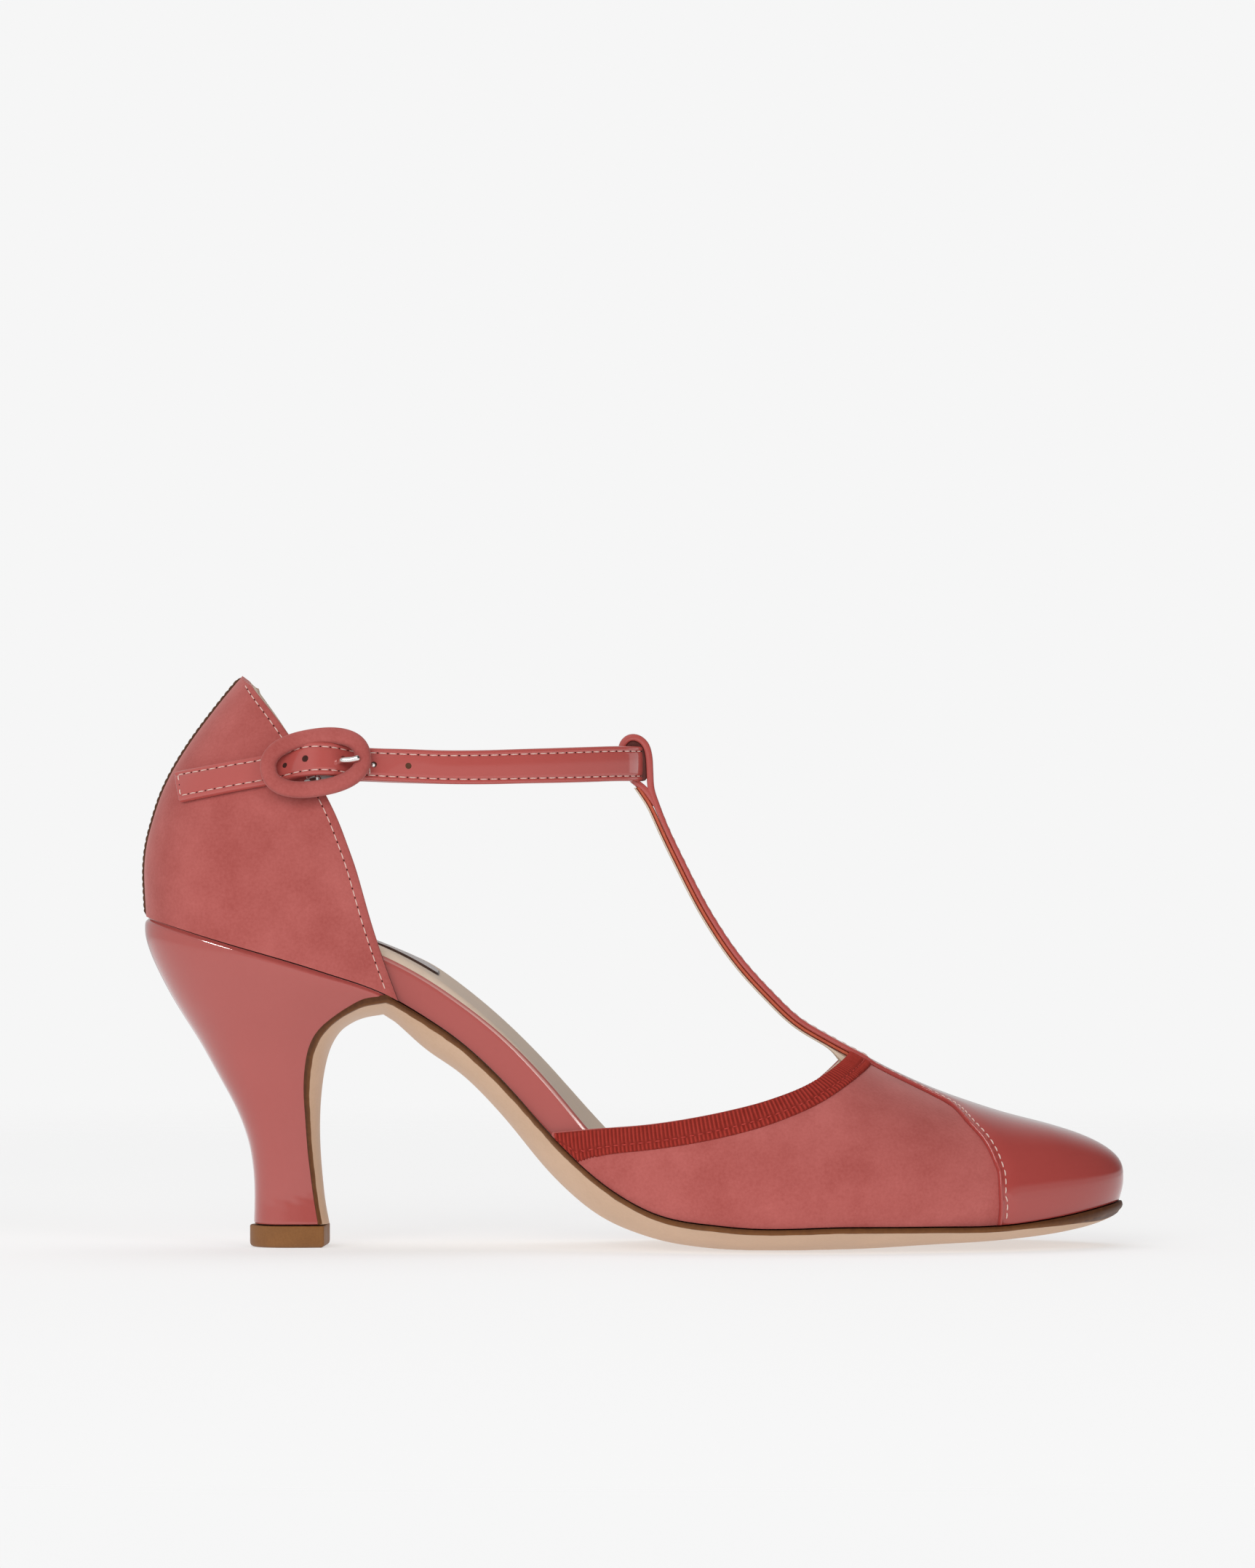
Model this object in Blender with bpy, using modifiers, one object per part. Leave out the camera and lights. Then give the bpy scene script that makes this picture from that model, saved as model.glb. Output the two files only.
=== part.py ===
import math
from collections import namedtuple

import bmesh
import bpy
import numpy as np
from mathutils import Matrix, Vector

# Sizes are in millimetres along the shoe: x from the back of the heel to the toe,
# y from the outer (lateral, negative) to the inner (medial, positive) side, z up from the floor.
MM = 0.001
SHOE_LENGTH = 229.3
GAP = 0.3
MERGE = 0.02
LATERAL = -1
MEDIAL = 1
MEDIAL_FRONT = 0.965
MEDIAL_DROP = 3.8
MEDIAL_DROP_FADE = 6.5
WING_LEAST = 1.2
WING_RISE_SHARE = 0.45
TINY = 0.01

# Insole outline
HEEL_BACK = 3.0
HEEL_ROUND = 29.0
HEEL_HALF = 23.7
HEEL_POWER = 2.3
BALL_HALF = 34.9
BALL_X = {LATERAL: 150.0, MEDIAL: 166.0}
TOE_TIP_X = 225.0
TOE_TIP_Y = 4.0
TOE_POWER = 1.9
TOE_ROUND = 1.7
TOE_FLAT = 12.0

# Walls
VAMP_WALL = 1.6
VAMP_OUT = VAMP_WALL + GAP
CAP_WALL = 1.0
CAP_OUT = CAP_WALL + GAP
COUNTER_WALL = 1.9
SEAT_OUT = COUNTER_WALL + GAP

# Key places along the shoe
SEAT_FRONT = 58.2
WING_X = 98.0
WING_FULL_X = 106.0
THROAT_X = 165.5
SEAM_X = 199.2
FOCUS_X = 211.0
RIDGE_Y = 3.0
RIDGE_END_SLOPE = -0.27

# Sole
SOLE_EDGE = 1.3
SOLE_CROWN_POWER = 4.0
FLAP_EDGE = 0.45
INSOLE_INSET = 0.25
INSOLE_ROUND = 2.0
INSOLE_ROUND_DROP = 1.5
INSOLE_ROUND_MOST = 0.6
TOP_PIECE_HEIGHT = 5.6
TOP_PIECE_BACK = 25.6
TOP_PIECE_FRONT = 43.9
TOP_PIECE_HALF = 9.4
TOP_PIECE_CORNER = 2.2
TOP_PIECE_BEVEL = 0.5
TOP_PIECE_EASE_ANGLE = math.radians(60)

# Straps and buckle
STRAP_THICK = 1.8
STRAP_HALF = 4.0
STRAP_END_HALF = 3.5
STRAP_CLOSE = 85.0
T_STRAP_LAYER = 1.2
BUCKLE_X = 41.3
BUCKLE_Z = 113.0
BUCKLE_TILT = math.radians(9.5)
BUCKLE_LONG = 25.4
BUCKLE_SHORT = 16.4
BUCKLE_BAND = 3.8
BUCKLE_THICK = 3.2
BUCKLE_SQUARENESS = 2.35
BAR_RADIUS = 0.8
BAR_SHORT = 0.1
PRONG_RADIUS = 0.65
PRONG_HOLE = PRONG_RADIUS + GAP
PRONG_BEND = 1.6
PRONG_PAST = 0.4
PRONG_DROP = 0.1
PRONG_ROOT_UP = 0.2
PRONG_TIP_UP = -0.9
BUCKLE_GAP = 0.7
LAY_STEP = 0.5

# Counts of points
UPPER_ROWS = 11
ACROSS_COUNT = 9
COUNTER_COLUMNS = 15
COUNTER_ROWS = 12
COUNTER_PASSES = 40
HEEL_COUNT = 13
HEEL_CLOSE = 1.6
TOP_PIECE_COUNT = 9
STRAP_COUNT = 64
STRAP_CLOSE_COUNT = 34
T_STRAP_COUNT = 52
BUCKLE_COUNT = 32
BUCKLE_SECTION = 8
ROD_SEGMENTS = 12
STEPS = {"heel": 6, "seat": 4, "waist": 7, "tail": 3, "wing": 11, "vamp": 6, "toe": 8}

# Bed: the line where the upper meets the sole or heel, and what lies above and below it.
# arch lifts the inner edge, dish lowers the middle, depth reaches the bottom of the sole in the middle,
# insole is the insole height, welt is how far the sole stands out past the insole edge.
Bed = namedtuple("Bed", "x z arch dish depth insole welt")
BED = [
    Bed(0.0, 77.3, 0.0, 0.0, 5.0, 8.0, 2.3),
    Bed(18.0, 71.9, 0.0, 0.0, 5.0, 8.4, 2.3),
    Bed(43.0, 64.5, 0.0, 0.0, 5.0, 8.8, 2.3),
    Bed(58.2, 59.0, 0.0, 0.0, 5.2, 8.8, 2.3),
    Bed(66.0, 55.0, 1.5, 1.2, 8.2, 8.6, 1.0),
    Bed(75.0, 49.3, 1.9, 3.2, 9.4, 8.2, 0.6),
    Bed(85.0, 40.6, 2.4, 4.6, 10.9, 8.0, 0.6),
    Bed(95.0, 28.8, 3.4, 5.0, 11.0, 8.2, 1.4),
    Bed(106.0, 17.0, 3.6, 4.4, 9.0, 7.0, 2.3),
    Bed(118.0, 9.5, 1.6, 3.2, 7.0, 5.0, 2.6),
    Bed(136.0, 6.2, 0.0, 2.4, 6.6, 3.8, 2.6),
    Bed(165.0, 6.1, 0.0, 2.2, 6.5, 3.5, 2.6),
    Bed(185.0, 6.0, 0.0, 1.6, 5.2, 3.4, 2.6),
    Bed(199.0, 6.0, 0.0, 1.0, 4.2, 3.3, 3.6),
    Bed(214.0, 7.7, 0.0, 0.4, 3.9, 3.2, 3.8),
    Bed(229.0, 10.6, 0.0, 0.0, 3.2, 3.0, 3.8),
]

# Half widths of the insole between the heel round and the ball
Waist = namedtuple("Waist", "x lateral medial")
WAIST = [
    Waist(32.0, 23.7, 23.7),
    Waist(45.0, 23.2, 22.8),
    Waist(60.0, 20.9, 19.4),
    Waist(73.0, 19.9, 17.2),
    Waist(85.0, 20.1, 16.4),
    Waist(96.0, 21.8, 17.3),
    Waist(107.0, 24.7, 20.0),
    Waist(120.0, 28.8, 24.4),
    Waist(136.0, 33.1, 30.0),
    Waist(150.0, 34.9, 33.6),
    Waist(166.0, 34.9, 34.9),
]

# Forepart: ridge of the last, topline of the vamp,
# height of the widest line above the bed, its swell and the squareness of the section.
Forepart = namedtuple("Forepart", "x ridge topline swell_up swell square")
FOREPART = [
    Forepart(96.0, 148.0, 27.2, 7.0, 0.8, 2.0),
    Forepart(104.0, 130.0, 28.0, 7.5, 1.0, 2.0),
    Forepart(121.0, 96.0, 30.0, 8.0, 1.4, 2.0),
    Forepart(138.0, 66.4, 33.5, 8.5, 1.8, 2.0),
    Forepart(147.0, 56.4, 36.0, 8.5, 1.8, 2.0),
    Forepart(156.0, 50.0, 39.6, 8.5, 1.8, 2.1),
    Forepart(165.5, 45.4, 45.4, 8.5, 1.8, 2.2),
    Forepart(172.4, 41.4, 41.4, 8.0, 1.8, 2.3),
    Forepart(178.0, 38.7, 38.7, 7.5, 1.7, 2.4),
    Forepart(184.5, 35.8, 35.8, 7.0, 1.6, 2.5),
    Forepart(190.0, 33.7, 33.7, 6.6, 1.5, 2.6),
    Forepart(195.0, 32.0, 32.0, 6.2, 1.4, 2.7),
    Forepart(198.0, 31.0, 31.0, 6.0, 1.4, 2.8),
    Forepart(199.2, 30.6, 30.6, 6.0, 1.3, 2.8),
    Forepart(211.0, 27.5, 27.5, 5.4, 1.1, 3.0),
    Forepart(232.0, 21.9, 21.9, 5.0, 1.0, 3.0),
]

# Back edge of the toe cap seen from the side, from the throat down to the sole
Seam = namedtuple("Seam", "x z")
SEAM = [
    Seam(165.8, 44.9),
    Seam(172.4, 41.4),
    Seam(177.4, 38.9),
    Seam(181.9, 36.6),
    Seam(187.1, 33.6),
    Seam(191.9, 29.6),
    Seam(195.4, 25.4),
    Seam(197.8, 20.4),
    Seam(199.1, 13.8),
    Seam(199.0, 8.0),
    Seam(198.4, 2.0),
]
SEAM_REACH = 60.0

# Counter by height: back seam, front edge and width against the seat
Counter = namedtuple("Counter", "z back front width")
COUNTER = [
    Counter(56.0, 0.7, 61.0, 1.005),
    Counter(66.0, 0.7, 57.3, 1.005),
    Counter(77.0, 0.6, 53.7, 1.012),
    Counter(82.0, 0.3, 52.5, 1.025),
    Counter(89.0, 0.15, 50.6, 1.03),
    Counter(94.4, 0.8, 48.7, 1.015),
    Counter(99.0, 2.0, 46.9, 0.985),
    Counter(106.0, 4.3, 43.4, 0.94),
    Counter(112.7, 7.7, 38.9, 0.885),
    Counter(118.0, 11.1, 35.3, 0.84),
    Counter(125.0, 16.3, 30.2, 0.79),
    Counter(130.0, 20.3, 26.5, 0.76),
    Counter(133.2, 23.0, 24.1, 0.75),
]

# Heel sections from the seat down to the lift: back, breast, outer face of the sole flap, half width
HeelRow = namedtuple("HeelRow", "back_x back_z breast_x breast_z flap_x flap_z half")
HEEL = [
    HeelRow(0.9, 76.9, 58.2, 59.0, 56.6, 54.2, 25.9),
    HeelRow(1.2, 73.0, 53.0, 58.4, 52.0, 53.4, 25.2),
    HeelRow(2.3, 69.0, 49.2, 56.5, 48.7, 51.9, 23.8),
    HeelRow(4.2, 64.6, 45.6, 54.1, 46.2, 49.9, 22.0),
    HeelRow(7.2, 58.8, 42.0, 51.0, 44.2, 46.6, 19.8),
    HeelRow(10.4, 53.5, 39.8, 47.3, 43.0, 42.7, 17.4),
    HeelRow(14.2, 47.5, 38.7, 42.6, 42.2, 38.0, 15.0),
    HeelRow(18.3, 40.0, 38.3, 36.5, 41.7, 32.4, 12.8),
    HeelRow(22.4, 32.4, 38.7, 29.5, 41.6, 26.0, 11.0),
    HeelRow(25.2, 25.0, 39.2, 22.5, 41.9, 20.0, 9.9),
    HeelRow(26.4, 18.2, 40.0, 16.0, 42.4, 14.5, 9.2),
    HeelRow(26.7, 12.0, 40.7, 11.0, 42.9, 10.2, 9.0),
    HeelRow(26.2, 5.9, 41.7, 5.9, 43.8, 5.9, 9.3),
]

# Ankle strap lying on the outer side of the counter and through the buckle:
# out is the distance of its middle from the counter surface, z its middle height.
Lay = namedtuple("Lay", "x out z half")
STRAP_LATERAL = [
    Lay(10.2, 1.3, 107.2, STRAP_END_HALF),
    Lay(13.0, 1.3, 107.8, STRAP_END_HALF),
    Lay(17.0, 1.3, 108.6, STRAP_END_HALF),
    Lay(23.0, 1.3, 109.8, STRAP_END_HALF),
    Lay(29.0, 1.3, 110.9, STRAP_END_HALF),
    Lay(33.0, 1.3, 111.7, STRAP_END_HALF),
    Lay(35.4, 1.9, 112.1, STRAP_END_HALF),
    Lay(38.0, 3.7, 112.5, STRAP_END_HALF),
    Lay(40.4, 4.8, 112.8, STRAP_END_HALF),
    Lay(42.6, 4.8, 112.9, STRAP_END_HALF),
    Lay(45.0, 3.9, 112.9, STRAP_END_HALF),
    Lay(47.4, 2.0, 112.8, STRAP_END_HALF),
    Lay(50.0, 1.3, 112.7, STRAP_END_HALF),
    Lay(55.0, 1.3, 112.4, STRAP_HALF),
]
STRAP_MEDIAL = [
    Lay(40.0, 1.3, 112.4, STRAP_HALF),
    Lay(34.0, 1.3, 111.8, STRAP_HALF),
    Lay(28.0, 1.3, 110.8, STRAP_HALF),
    Lay(22.0, 1.3, 109.6, STRAP_HALF),
    Lay(17.0, 1.3, 108.6, STRAP_HALF),
]

# Ankle strap where it spans freely round the front of the ankle
Span = namedtuple("Span", "x y z")
STRAP_FRONT = [
    Span(61.0, -23.7, 112.2),
    Span(71.0, -23.5, 112.0),
    Span(81.0, -22.4, 112.0),
    Span(90.0, -20.2, 112.1),
    Span(98.0, -16.8, 112.3),
    Span(104.5, -12.8, 112.5),
    Span(110.0, -8.2, 112.7),
    Span(114.1, -3.2, 112.7),
    Span(116.0, 2.5, 112.7),
    Span(114.5, 8.3, 112.7),
    Span(110.8, 13.2, 112.7),
    Span(105.0, 17.6, 112.5),
    Span(98.0, 21.0, 112.3),
    Span(89.0, 23.8, 112.1),
    Span(79.0, 25.3, 112.0),
    Span(69.0, 25.6, 112.0),
    Span(58.0, 25.0, 112.2),
    Span(48.0, 24.2, 112.4),
]

# T strap: middle of the outer layer, thickness added on the foot side, half width
TRow = namedtuple("TRow", "x z lining half")
T_STRAP = [
    TRow(165.0, 46.1, 1.0, 6.2),
    TRow(160.4, 48.6, 1.4, 5.6),
    TRow(153.6, 52.7, 1.4, 5.0),
    TRow(146.7, 59.2, 1.4, 4.7),
    TRow(139.8, 66.9, 1.4, 4.5),
    TRow(133.0, 76.9, 1.4, 4.5),
    TRow(126.2, 89.8, 1.4, 4.5),
    TRow(121.8, 99.2, 1.4, 4.5),
    TRow(120.2, 103.2, 0.8, 4.5),
    TRow(119.3, 106.6, 0.0, 4.5),
    TRow(118.8, 110.8, 0.0, 4.5),
    TRow(118.6, 114.8, 0.0, 4.5),
    TRow(117.9, 117.7, 0.0, 4.5),
    TRow(116.2, 119.3, 0.0, 4.5),
    TRow(113.9, 119.4, 0.0, 4.5),
    TRow(112.1, 117.8, 0.0, 4.5),
    TRow(111.6, 114.0, 0.0, 4.5),
    TRow(112.1, 110.0, 0.0, 4.5),
    TRow(113.7, 107.0, 0.0, 4.5),
    TRow(115.8, 105.4, 0.0, 4.5),
    TRow(117.6, 104.5, 0.0, 4.5),
]

# Surfaces
Surface = namedtuple("Surface", "colour roughness metallic")
SUEDE = Surface((0.42, 0.12, 0.11, 1.0), 0.9, 0.0)
PATENT = Surface((0.45, 0.11, 0.10, 1.0), 0.15, 0.0)
LEATHER = Surface((0.56, 0.36, 0.22, 1.0), 0.45, 0.0)
RUBBER = Surface((0.22, 0.12, 0.05, 1.0), 0.6, 0.0)
METAL = Surface((0.75, 0.75, 0.75, 1.0), 0.25, 1.0)


def smooth(rows, key, value):
    # Cubic curve through one column of a table, with slopes from neighbouring rows
    keys = np.array([getattr(row, key) for row in rows])
    values = np.array([getattr(row, value) for row in rows])
    slopes = np.gradient(values, keys)

    def at(position):
        position = np.clip(position, keys[0], keys[-1])
        cell = np.clip(np.searchsorted(keys, position, side="right") - 1, 0, len(keys) - 2)
        step = keys[cell + 1] - keys[cell]
        part = (position - keys[cell]) / step
        start = (1 + 2 * part) * (1 - part) ** 2 * values[cell]
        start_slope = part * (1 - part) ** 2 * step * slopes[cell]
        end = part * part * (3 - 2 * part) * values[cell + 1]
        end_slope = part * part * (part - 1) * step * slopes[cell + 1]
        return start + start_slope + end + end_slope

    return at


bed_z = smooth(BED, "x", "z")
arch_table = smooth(BED, "x", "arch")
dish_table = smooth(BED, "x", "dish")
bed_depth = smooth(BED, "x", "depth")
bed_insole = smooth(BED, "x", "insole")
bed_welt = smooth(BED, "x", "welt")
waist_half = {LATERAL: smooth(WAIST[:-1], "x", "lateral"), MEDIAL: smooth(WAIST, "x", "medial")}
ridge_table = smooth(FOREPART, "x", "ridge")
topline_z = smooth(FOREPART[:7], "x", "topline")
swell_up = smooth(FOREPART, "x", "swell_up")
swell_out = smooth(FOREPART, "x", "swell")
squareness = smooth(FOREPART, "x", "square")
counter_back = smooth(COUNTER, "z", "back")
counter_front = smooth(COUNTER, "z", "front")
counter_width = smooth(COUNTER, "z", "width")


def edge_y(x, side):
    # Insole edge: a superellipse round the heel, the waist table, a superellipse to the toe tip
    x = np.asarray(x, float)
    round_part = np.clip(1 - (x - HEEL_BACK) / HEEL_ROUND, 0, 1)
    heel = side * HEEL_HALF * (1 - round_part**HEEL_POWER) ** (1 / HEEL_POWER)
    reach = np.clip((x - BALL_X[side]) / (TOE_TIP_X - BALL_X[side]), 0, 1)
    toe = TOE_TIP_Y + (side * BALL_HALF - TOE_TIP_Y) * (1 - reach**TOE_POWER) ** (1 / TOE_ROUND)
    waist = side * waist_half[side](x)
    return np.where(x < HEEL_BACK + HEEL_ROUND, heel, np.where(x < BALL_X[side], waist, toe))


def bed_arch(x):
    return np.maximum(arch_table(x), 0)


def bed_dish(x):
    return np.maximum(dish_table(x), 0)


def bed_at(x, across):
    # Height of the bed; across runs from -1 at the outer edge to 1 at the inner edge
    lift = bed_arch(x) * ((1 + across) / 2) ** 2
    dish = bed_dish(x) * np.clip((TOE_TIP_X - x) / TOE_FLAT, 0, 1)
    return bed_z(x) + lift - dish * (1 - np.minimum(np.abs(across), 1) ** 2)


def ridge_z(x):
    # Ridge of the last, carried on straight past the focus of the toe
    end = ridge_table(FOCUS_X) + RIDGE_END_SLOPE * (x - FOCUS_X)
    return np.where(x < FOCUS_X, ridge_table(np.minimum(x, FOCUS_X)), end)


def stations():
    # Places along the insole edge, close together where the outline turns at the heel and toe
    part = {name: np.linspace(0, 1, count + 1)[:-1] for name, count in STEPS.items()}
    heel = HEEL_BACK + HEEL_ROUND * (1 - np.cos(part["heel"] * math.pi / 2) ** (2 / HEEL_POWER))
    seat_back = HEEL_BACK + HEEL_ROUND
    seat = seat_back + (SEAT_FRONT - seat_back) * part["seat"]
    waist = SEAT_FRONT + (WING_X - SEAT_FRONT) * part["waist"]
    tail = WING_X + (WING_FULL_X - WING_X) * part["tail"]
    wing = WING_FULL_X + (THROAT_X - WING_FULL_X) * np.sin(part["wing"] * math.pi / 2)
    vamp = THROAT_X + (SEAM_X - THROAT_X) * part["vamp"]
    toe = SEAM_X + (TOE_TIP_X - SEAM_X) * np.sin(part["toe"] * math.pi / 2)
    return np.concatenate([heel, seat, waist, tail, wing, vamp, toe, [TOE_TIP_X]])


STATIONS = stations()
COUNT = len(STATIONS)


def outline(out):
    # Both edges at every station, moved outwards by out, as arrays of x and y per side
    lateral = np.stack([STATIONS, edge_y(STATIONS, LATERAL)], axis=1)
    medial = np.stack([STATIONS, edge_y(STATIONS, MEDIAL)], axis=1)
    loop = np.concatenate([lateral, medial[-2:0:-1]])
    before = loop - np.roll(loop, 1, axis=0)
    after = np.roll(loop, -1, axis=0) - loop
    reach_before = np.linalg.norm(before, axis=1, keepdims=True)
    reach_after = np.linalg.norm(after, axis=1, keepdims=True)
    tangent = before / reach_before + after / reach_after
    normal = np.stack([tangent[:, 1], -tangent[:, 0]], axis=1)
    normal /= np.linalg.norm(normal, axis=1, keepdims=True)
    amount = np.broadcast_to(out, STATIONS.shape)
    amount = np.concatenate([amount, amount[-2:0:-1]])
    moved = loop + normal * amount[:, None]
    return moved[:COUNT], np.concatenate([moved[:1], moved[:COUNT - 2:-1]])[:COUNT], normal


def new_object(name, mesh, collection):
    thing = bpy.data.objects.new(name, mesh)
    collection.objects.link(thing)
    return thing


def new_cutter(name, mesh, collection):
    thing = new_object(name, mesh, collection)
    thing.hide_render = True
    thing.display_type = "WIRE"
    return thing


def cut(thing, name, operation, cutter):
    change = thing.modifiers.new(name, "BOOLEAN")
    change.operation = operation
    change.solver = "EXACT"
    change.object = cutter


def paint(thing, surface):
    material = bpy.data.materials.new(thing.name)
    material.use_nodes = True
    shader = material.node_tree.nodes["Principled BSDF"]
    shader.inputs["Base Color"].default_value = surface.colour
    shader.inputs["Roughness"].default_value = surface.roughness
    shader.inputs["Metallic"].default_value = surface.metallic
    thing.data.materials.append(material)


def to_shoe(points):
    # Millimetres from the heel back to metres about the middle of the length
    return (np.asarray(points, float) - (SHOE_LENGTH / 2, 0, 0)) * MM


def grid_mesh(name, grid, closed_rows=False, cap_first=False, cap_last=False):
    # Mesh over a grid of points; rows may close on themselves, and end rows may be capped
    rows, columns = grid.shape[:2]
    mesh = bpy.data.meshes.new(name)
    work = bmesh.new()
    verts = [work.verts.new(point) for point in to_shoe(grid.reshape(-1, 3))]
    last = columns if closed_rows else columns - 1
    for row in range(rows - 1):
        for column in range(last):
            beside = (column + 1) % columns
            corners = (
                row * columns + column,
                row * columns + beside,
                (row + 1) * columns + beside,
                (row + 1) * columns + column,
            )
            work.faces.new([verts[corner] for corner in corners])
    if cap_first:
        work.faces.new(verts[:columns][::-1])
    if cap_last:
        work.faces.new(verts[-columns:])
    bmesh.ops.remove_doubles(work, verts=work.verts, dist=MERGE * MM)
    bmesh.ops.recalc_face_normals(work, faces=work.faces)
    work.to_mesh(mesh)
    work.free()
    return mesh


def shell(name, grid, thickness, offset, collection):
    # Open surface with a wall of even thickness
    thing = new_object(name, grid_mesh(name, grid), collection)
    wall = thing.modifiers.new("wall", "SOLIDIFY")
    wall.thickness = thickness * MM
    wall.offset = offset
    return thing


def topline_at(along, side):
    # Topline of the vamp, lower on the inner side
    drop = (1 - np.exp(-np.maximum(THROAT_X - along, 0) / MEDIAL_DROP_FADE)) * MEDIAL_DROP
    return topline_z(along) - drop * (1 + side) / 2


def rib_foot_z(foot, side):
    # Height at which a rib of the forepart stands on the bed
    return bed_z(foot[:, 0]) + bed_arch(foot[:, 0]) * (1 + side) / 2 + GAP / 2


def upper_ribs(out):
    # Ribs of the forepart from the bed up to the ridge, from the outer side round the toe to the inner side
    lateral, medial, normal = outline(VAMP_OUT + out)
    first = int(np.searchsorted(STATIONS, WING_X - TINY))
    foot = np.concatenate([lateral[first:], medial[-2:first - 1:-1]])
    along = np.concatenate([STATIONS[first:], STATIONS[-2:first - 1:-1]])
    side = np.concatenate([-np.ones(COUNT - first), np.ones(COUNT - first - 1)])
    spread = np.concatenate([normal[first:COUNT], normal[COUNT:2 * COUNT - 2 - first + 1]])[:len(along)]
    keep = (along > THROAT_X) | (topline_at(along, side) - rib_foot_z(foot, side) > WING_LEAST)
    return along[keep], foot[keep], side[keep], spread[keep]


def upper_points(ribs, level, out):
    # Points at level 0 (bed) to 1 (widest line) to 2 (ridge) on each rib
    along, foot, side, spread = ribs
    low = rib_foot_z(foot, side)
    open_height = np.where(along < THROAT_X, topline_at(along, side) - low, SHOE_LENGTH)
    rise = np.minimum(swell_up(along), WING_RISE_SHARE * open_height)
    swell = swell_out(along) * rise / swell_up(along)
    spine_x = np.minimum(along, FOCUS_X)
    under = np.clip(level, 0, 1)
    over = np.clip(level - 1, 0, 1) * math.pi / 2
    power = 2 / squareness(along)
    inward = np.clip(np.cos(over), 0, 1) ** power
    upward = np.sin(over) ** power
    bulge = swell * np.sin(under * math.pi / 2)
    wide_x = foot[:, 0] + spread[:, 0] * bulge
    wide_y = foot[:, 1] + spread[:, 1] * bulge
    x = spine_x + (wide_x - spine_x) * inward
    y = RIDGE_Y + (wide_y - RIDGE_Y) * inward
    top = ridge_z(x) + out
    z = np.where(level <= 1, low + rise * under, low + rise + (top - low - rise) * upward)
    return np.stack([x, y, z], axis=1)


def level_of(ribs, height, out):
    # Level at which each rib reaches a height
    along, foot, side, spread = ribs
    low = rib_foot_z(foot, side)
    open_height = np.where(along < THROAT_X, topline_at(along, side) - low, SHOE_LENGTH)
    rise = np.minimum(swell_up(along), WING_RISE_SHARE * open_height)
    part = np.clip((height - low - rise) / (ridge_z(along) + out - low - rise), 0, 1)
    over = np.arcsin(part ** (squareness(along) / 2)) / (math.pi / 2)
    return np.where(height < low + rise, np.clip((height - low) / rise, 0, 1), 1 + over)


def build_vamp(collection):
    ribs = upper_ribs(0.0)
    along, _, side, _ = ribs
    top = np.where(along < THROAT_X - TINY, level_of(ribs, topline_at(along, side), 0.0), 2.0)
    rows = np.linspace(0, 2, UPPER_ROWS)
    grid = np.stack([upper_points(ribs, np.minimum(row, top), 0.0) for row in rows[:-1]])
    grid = np.concatenate([grid, upper_points(ribs, top, 0.0)[None]])
    thing = shell("vamp", grid, VAMP_WALL, -1, collection)
    paint(thing, SUEDE)


def build_toe_cap(collection, cutters):
    # Larger form over the whole forepart, kept in front of the seam
    ribs = upper_ribs(CAP_OUT)
    keep = ribs[0] > THROAT_X - TINY
    ribs = tuple(column[keep] for column in ribs)
    rows = np.linspace(0, 2, UPPER_ROWS)
    grid = np.stack([upper_points(ribs, row, CAP_OUT) for row in rows])
    thing = shell("toe_cap", grid, CAP_WALL, -1, collection)
    corners = [(SEAM[-1].x, -SEAM_REACH), (SHOE_LENGTH + SEAM_REACH, -SEAM_REACH)]
    corners += [(SHOE_LENGTH + SEAM_REACH, 2 * SEAM_REACH), (SEAM[0].x, 2 * SEAM_REACH)]
    profile = np.array([(row.x, row.z) for row in SEAM] + corners)
    flat = np.ones(len(profile)) * SEAM_REACH
    near = np.stack([profile[:, 0], -flat, profile[:, 1]], axis=1)
    far = np.stack([profile[:, 0], flat, profile[:, 1]], axis=1)
    mesh = grid_mesh("cap_pattern", np.stack([near, far]), closed_rows=True, cap_first=True, cap_last=True)
    cut(thing, "pattern", "INTERSECT", new_cutter("cap_pattern", mesh, cutters))
    paint(thing, PATENT)


def seat_edge(back_from, side):
    # Outer edge of the counter at the seat, by distance from its back
    length = HEEL_ROUND + SEAT_OUT
    round_part = np.clip(1 - back_from / length, 0, 1)
    heel = (HEEL_HALF + SEAT_OUT) * (1 - round_part**HEEL_POWER) ** (1 / HEEL_POWER)
    waist = waist_half[side](back_from + HEEL_BACK - SEAT_OUT) + SEAT_OUT
    return side * np.where(back_from < length, heel, waist)


def counter_y(x, z, side):
    return counter_width(z) * seat_edge(np.maximum(x - counter_back(z), 0), side)


def counter_side(side):
    # Half of the counter: columns from the back seam to the front edge, rows from the seat to the top
    even = np.linspace(0, 1, COUNTER_COLUMNS)
    share = (np.sin(even * math.pi / 2) ** 2 + even) / 2
    reach = MEDIAL_FRONT if side == MEDIAL else 1.0
    foot_x = share * COUNTER[0].front
    for _ in range(COUNTER_PASSES):
        low = bed_z(foot_x) + bed_arch(foot_x) * (1 + side) / 2 + GAP / 2
        foot_x = counter_back(low) + share * reach * (counter_front(low) - counter_back(low))
    climb = np.linspace(0, 1, COUNTER_ROWS)[:, None]
    z = low + (COUNTER[-1].z - low) * climb
    x = counter_back(z) + share * reach * (counter_front(z) - counter_back(z))
    return np.stack([x, counter_y(x, z, side), z], axis=2)


def build_counter(collection):
    lateral = counter_side(LATERAL)
    medial = counter_side(MEDIAL)
    grid = np.concatenate([lateral[:, ::-1], medial[:, 1:]], axis=1)
    thing = shell("counter", grid, COUNTER_WALL, -1, collection)
    paint(thing, SUEDE)


def across_shares():
    # Shares of the width, closer together near both edges
    return (1 - np.cos(np.linspace(0, math.pi, ACROSS_COUNT))) / 2


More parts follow.
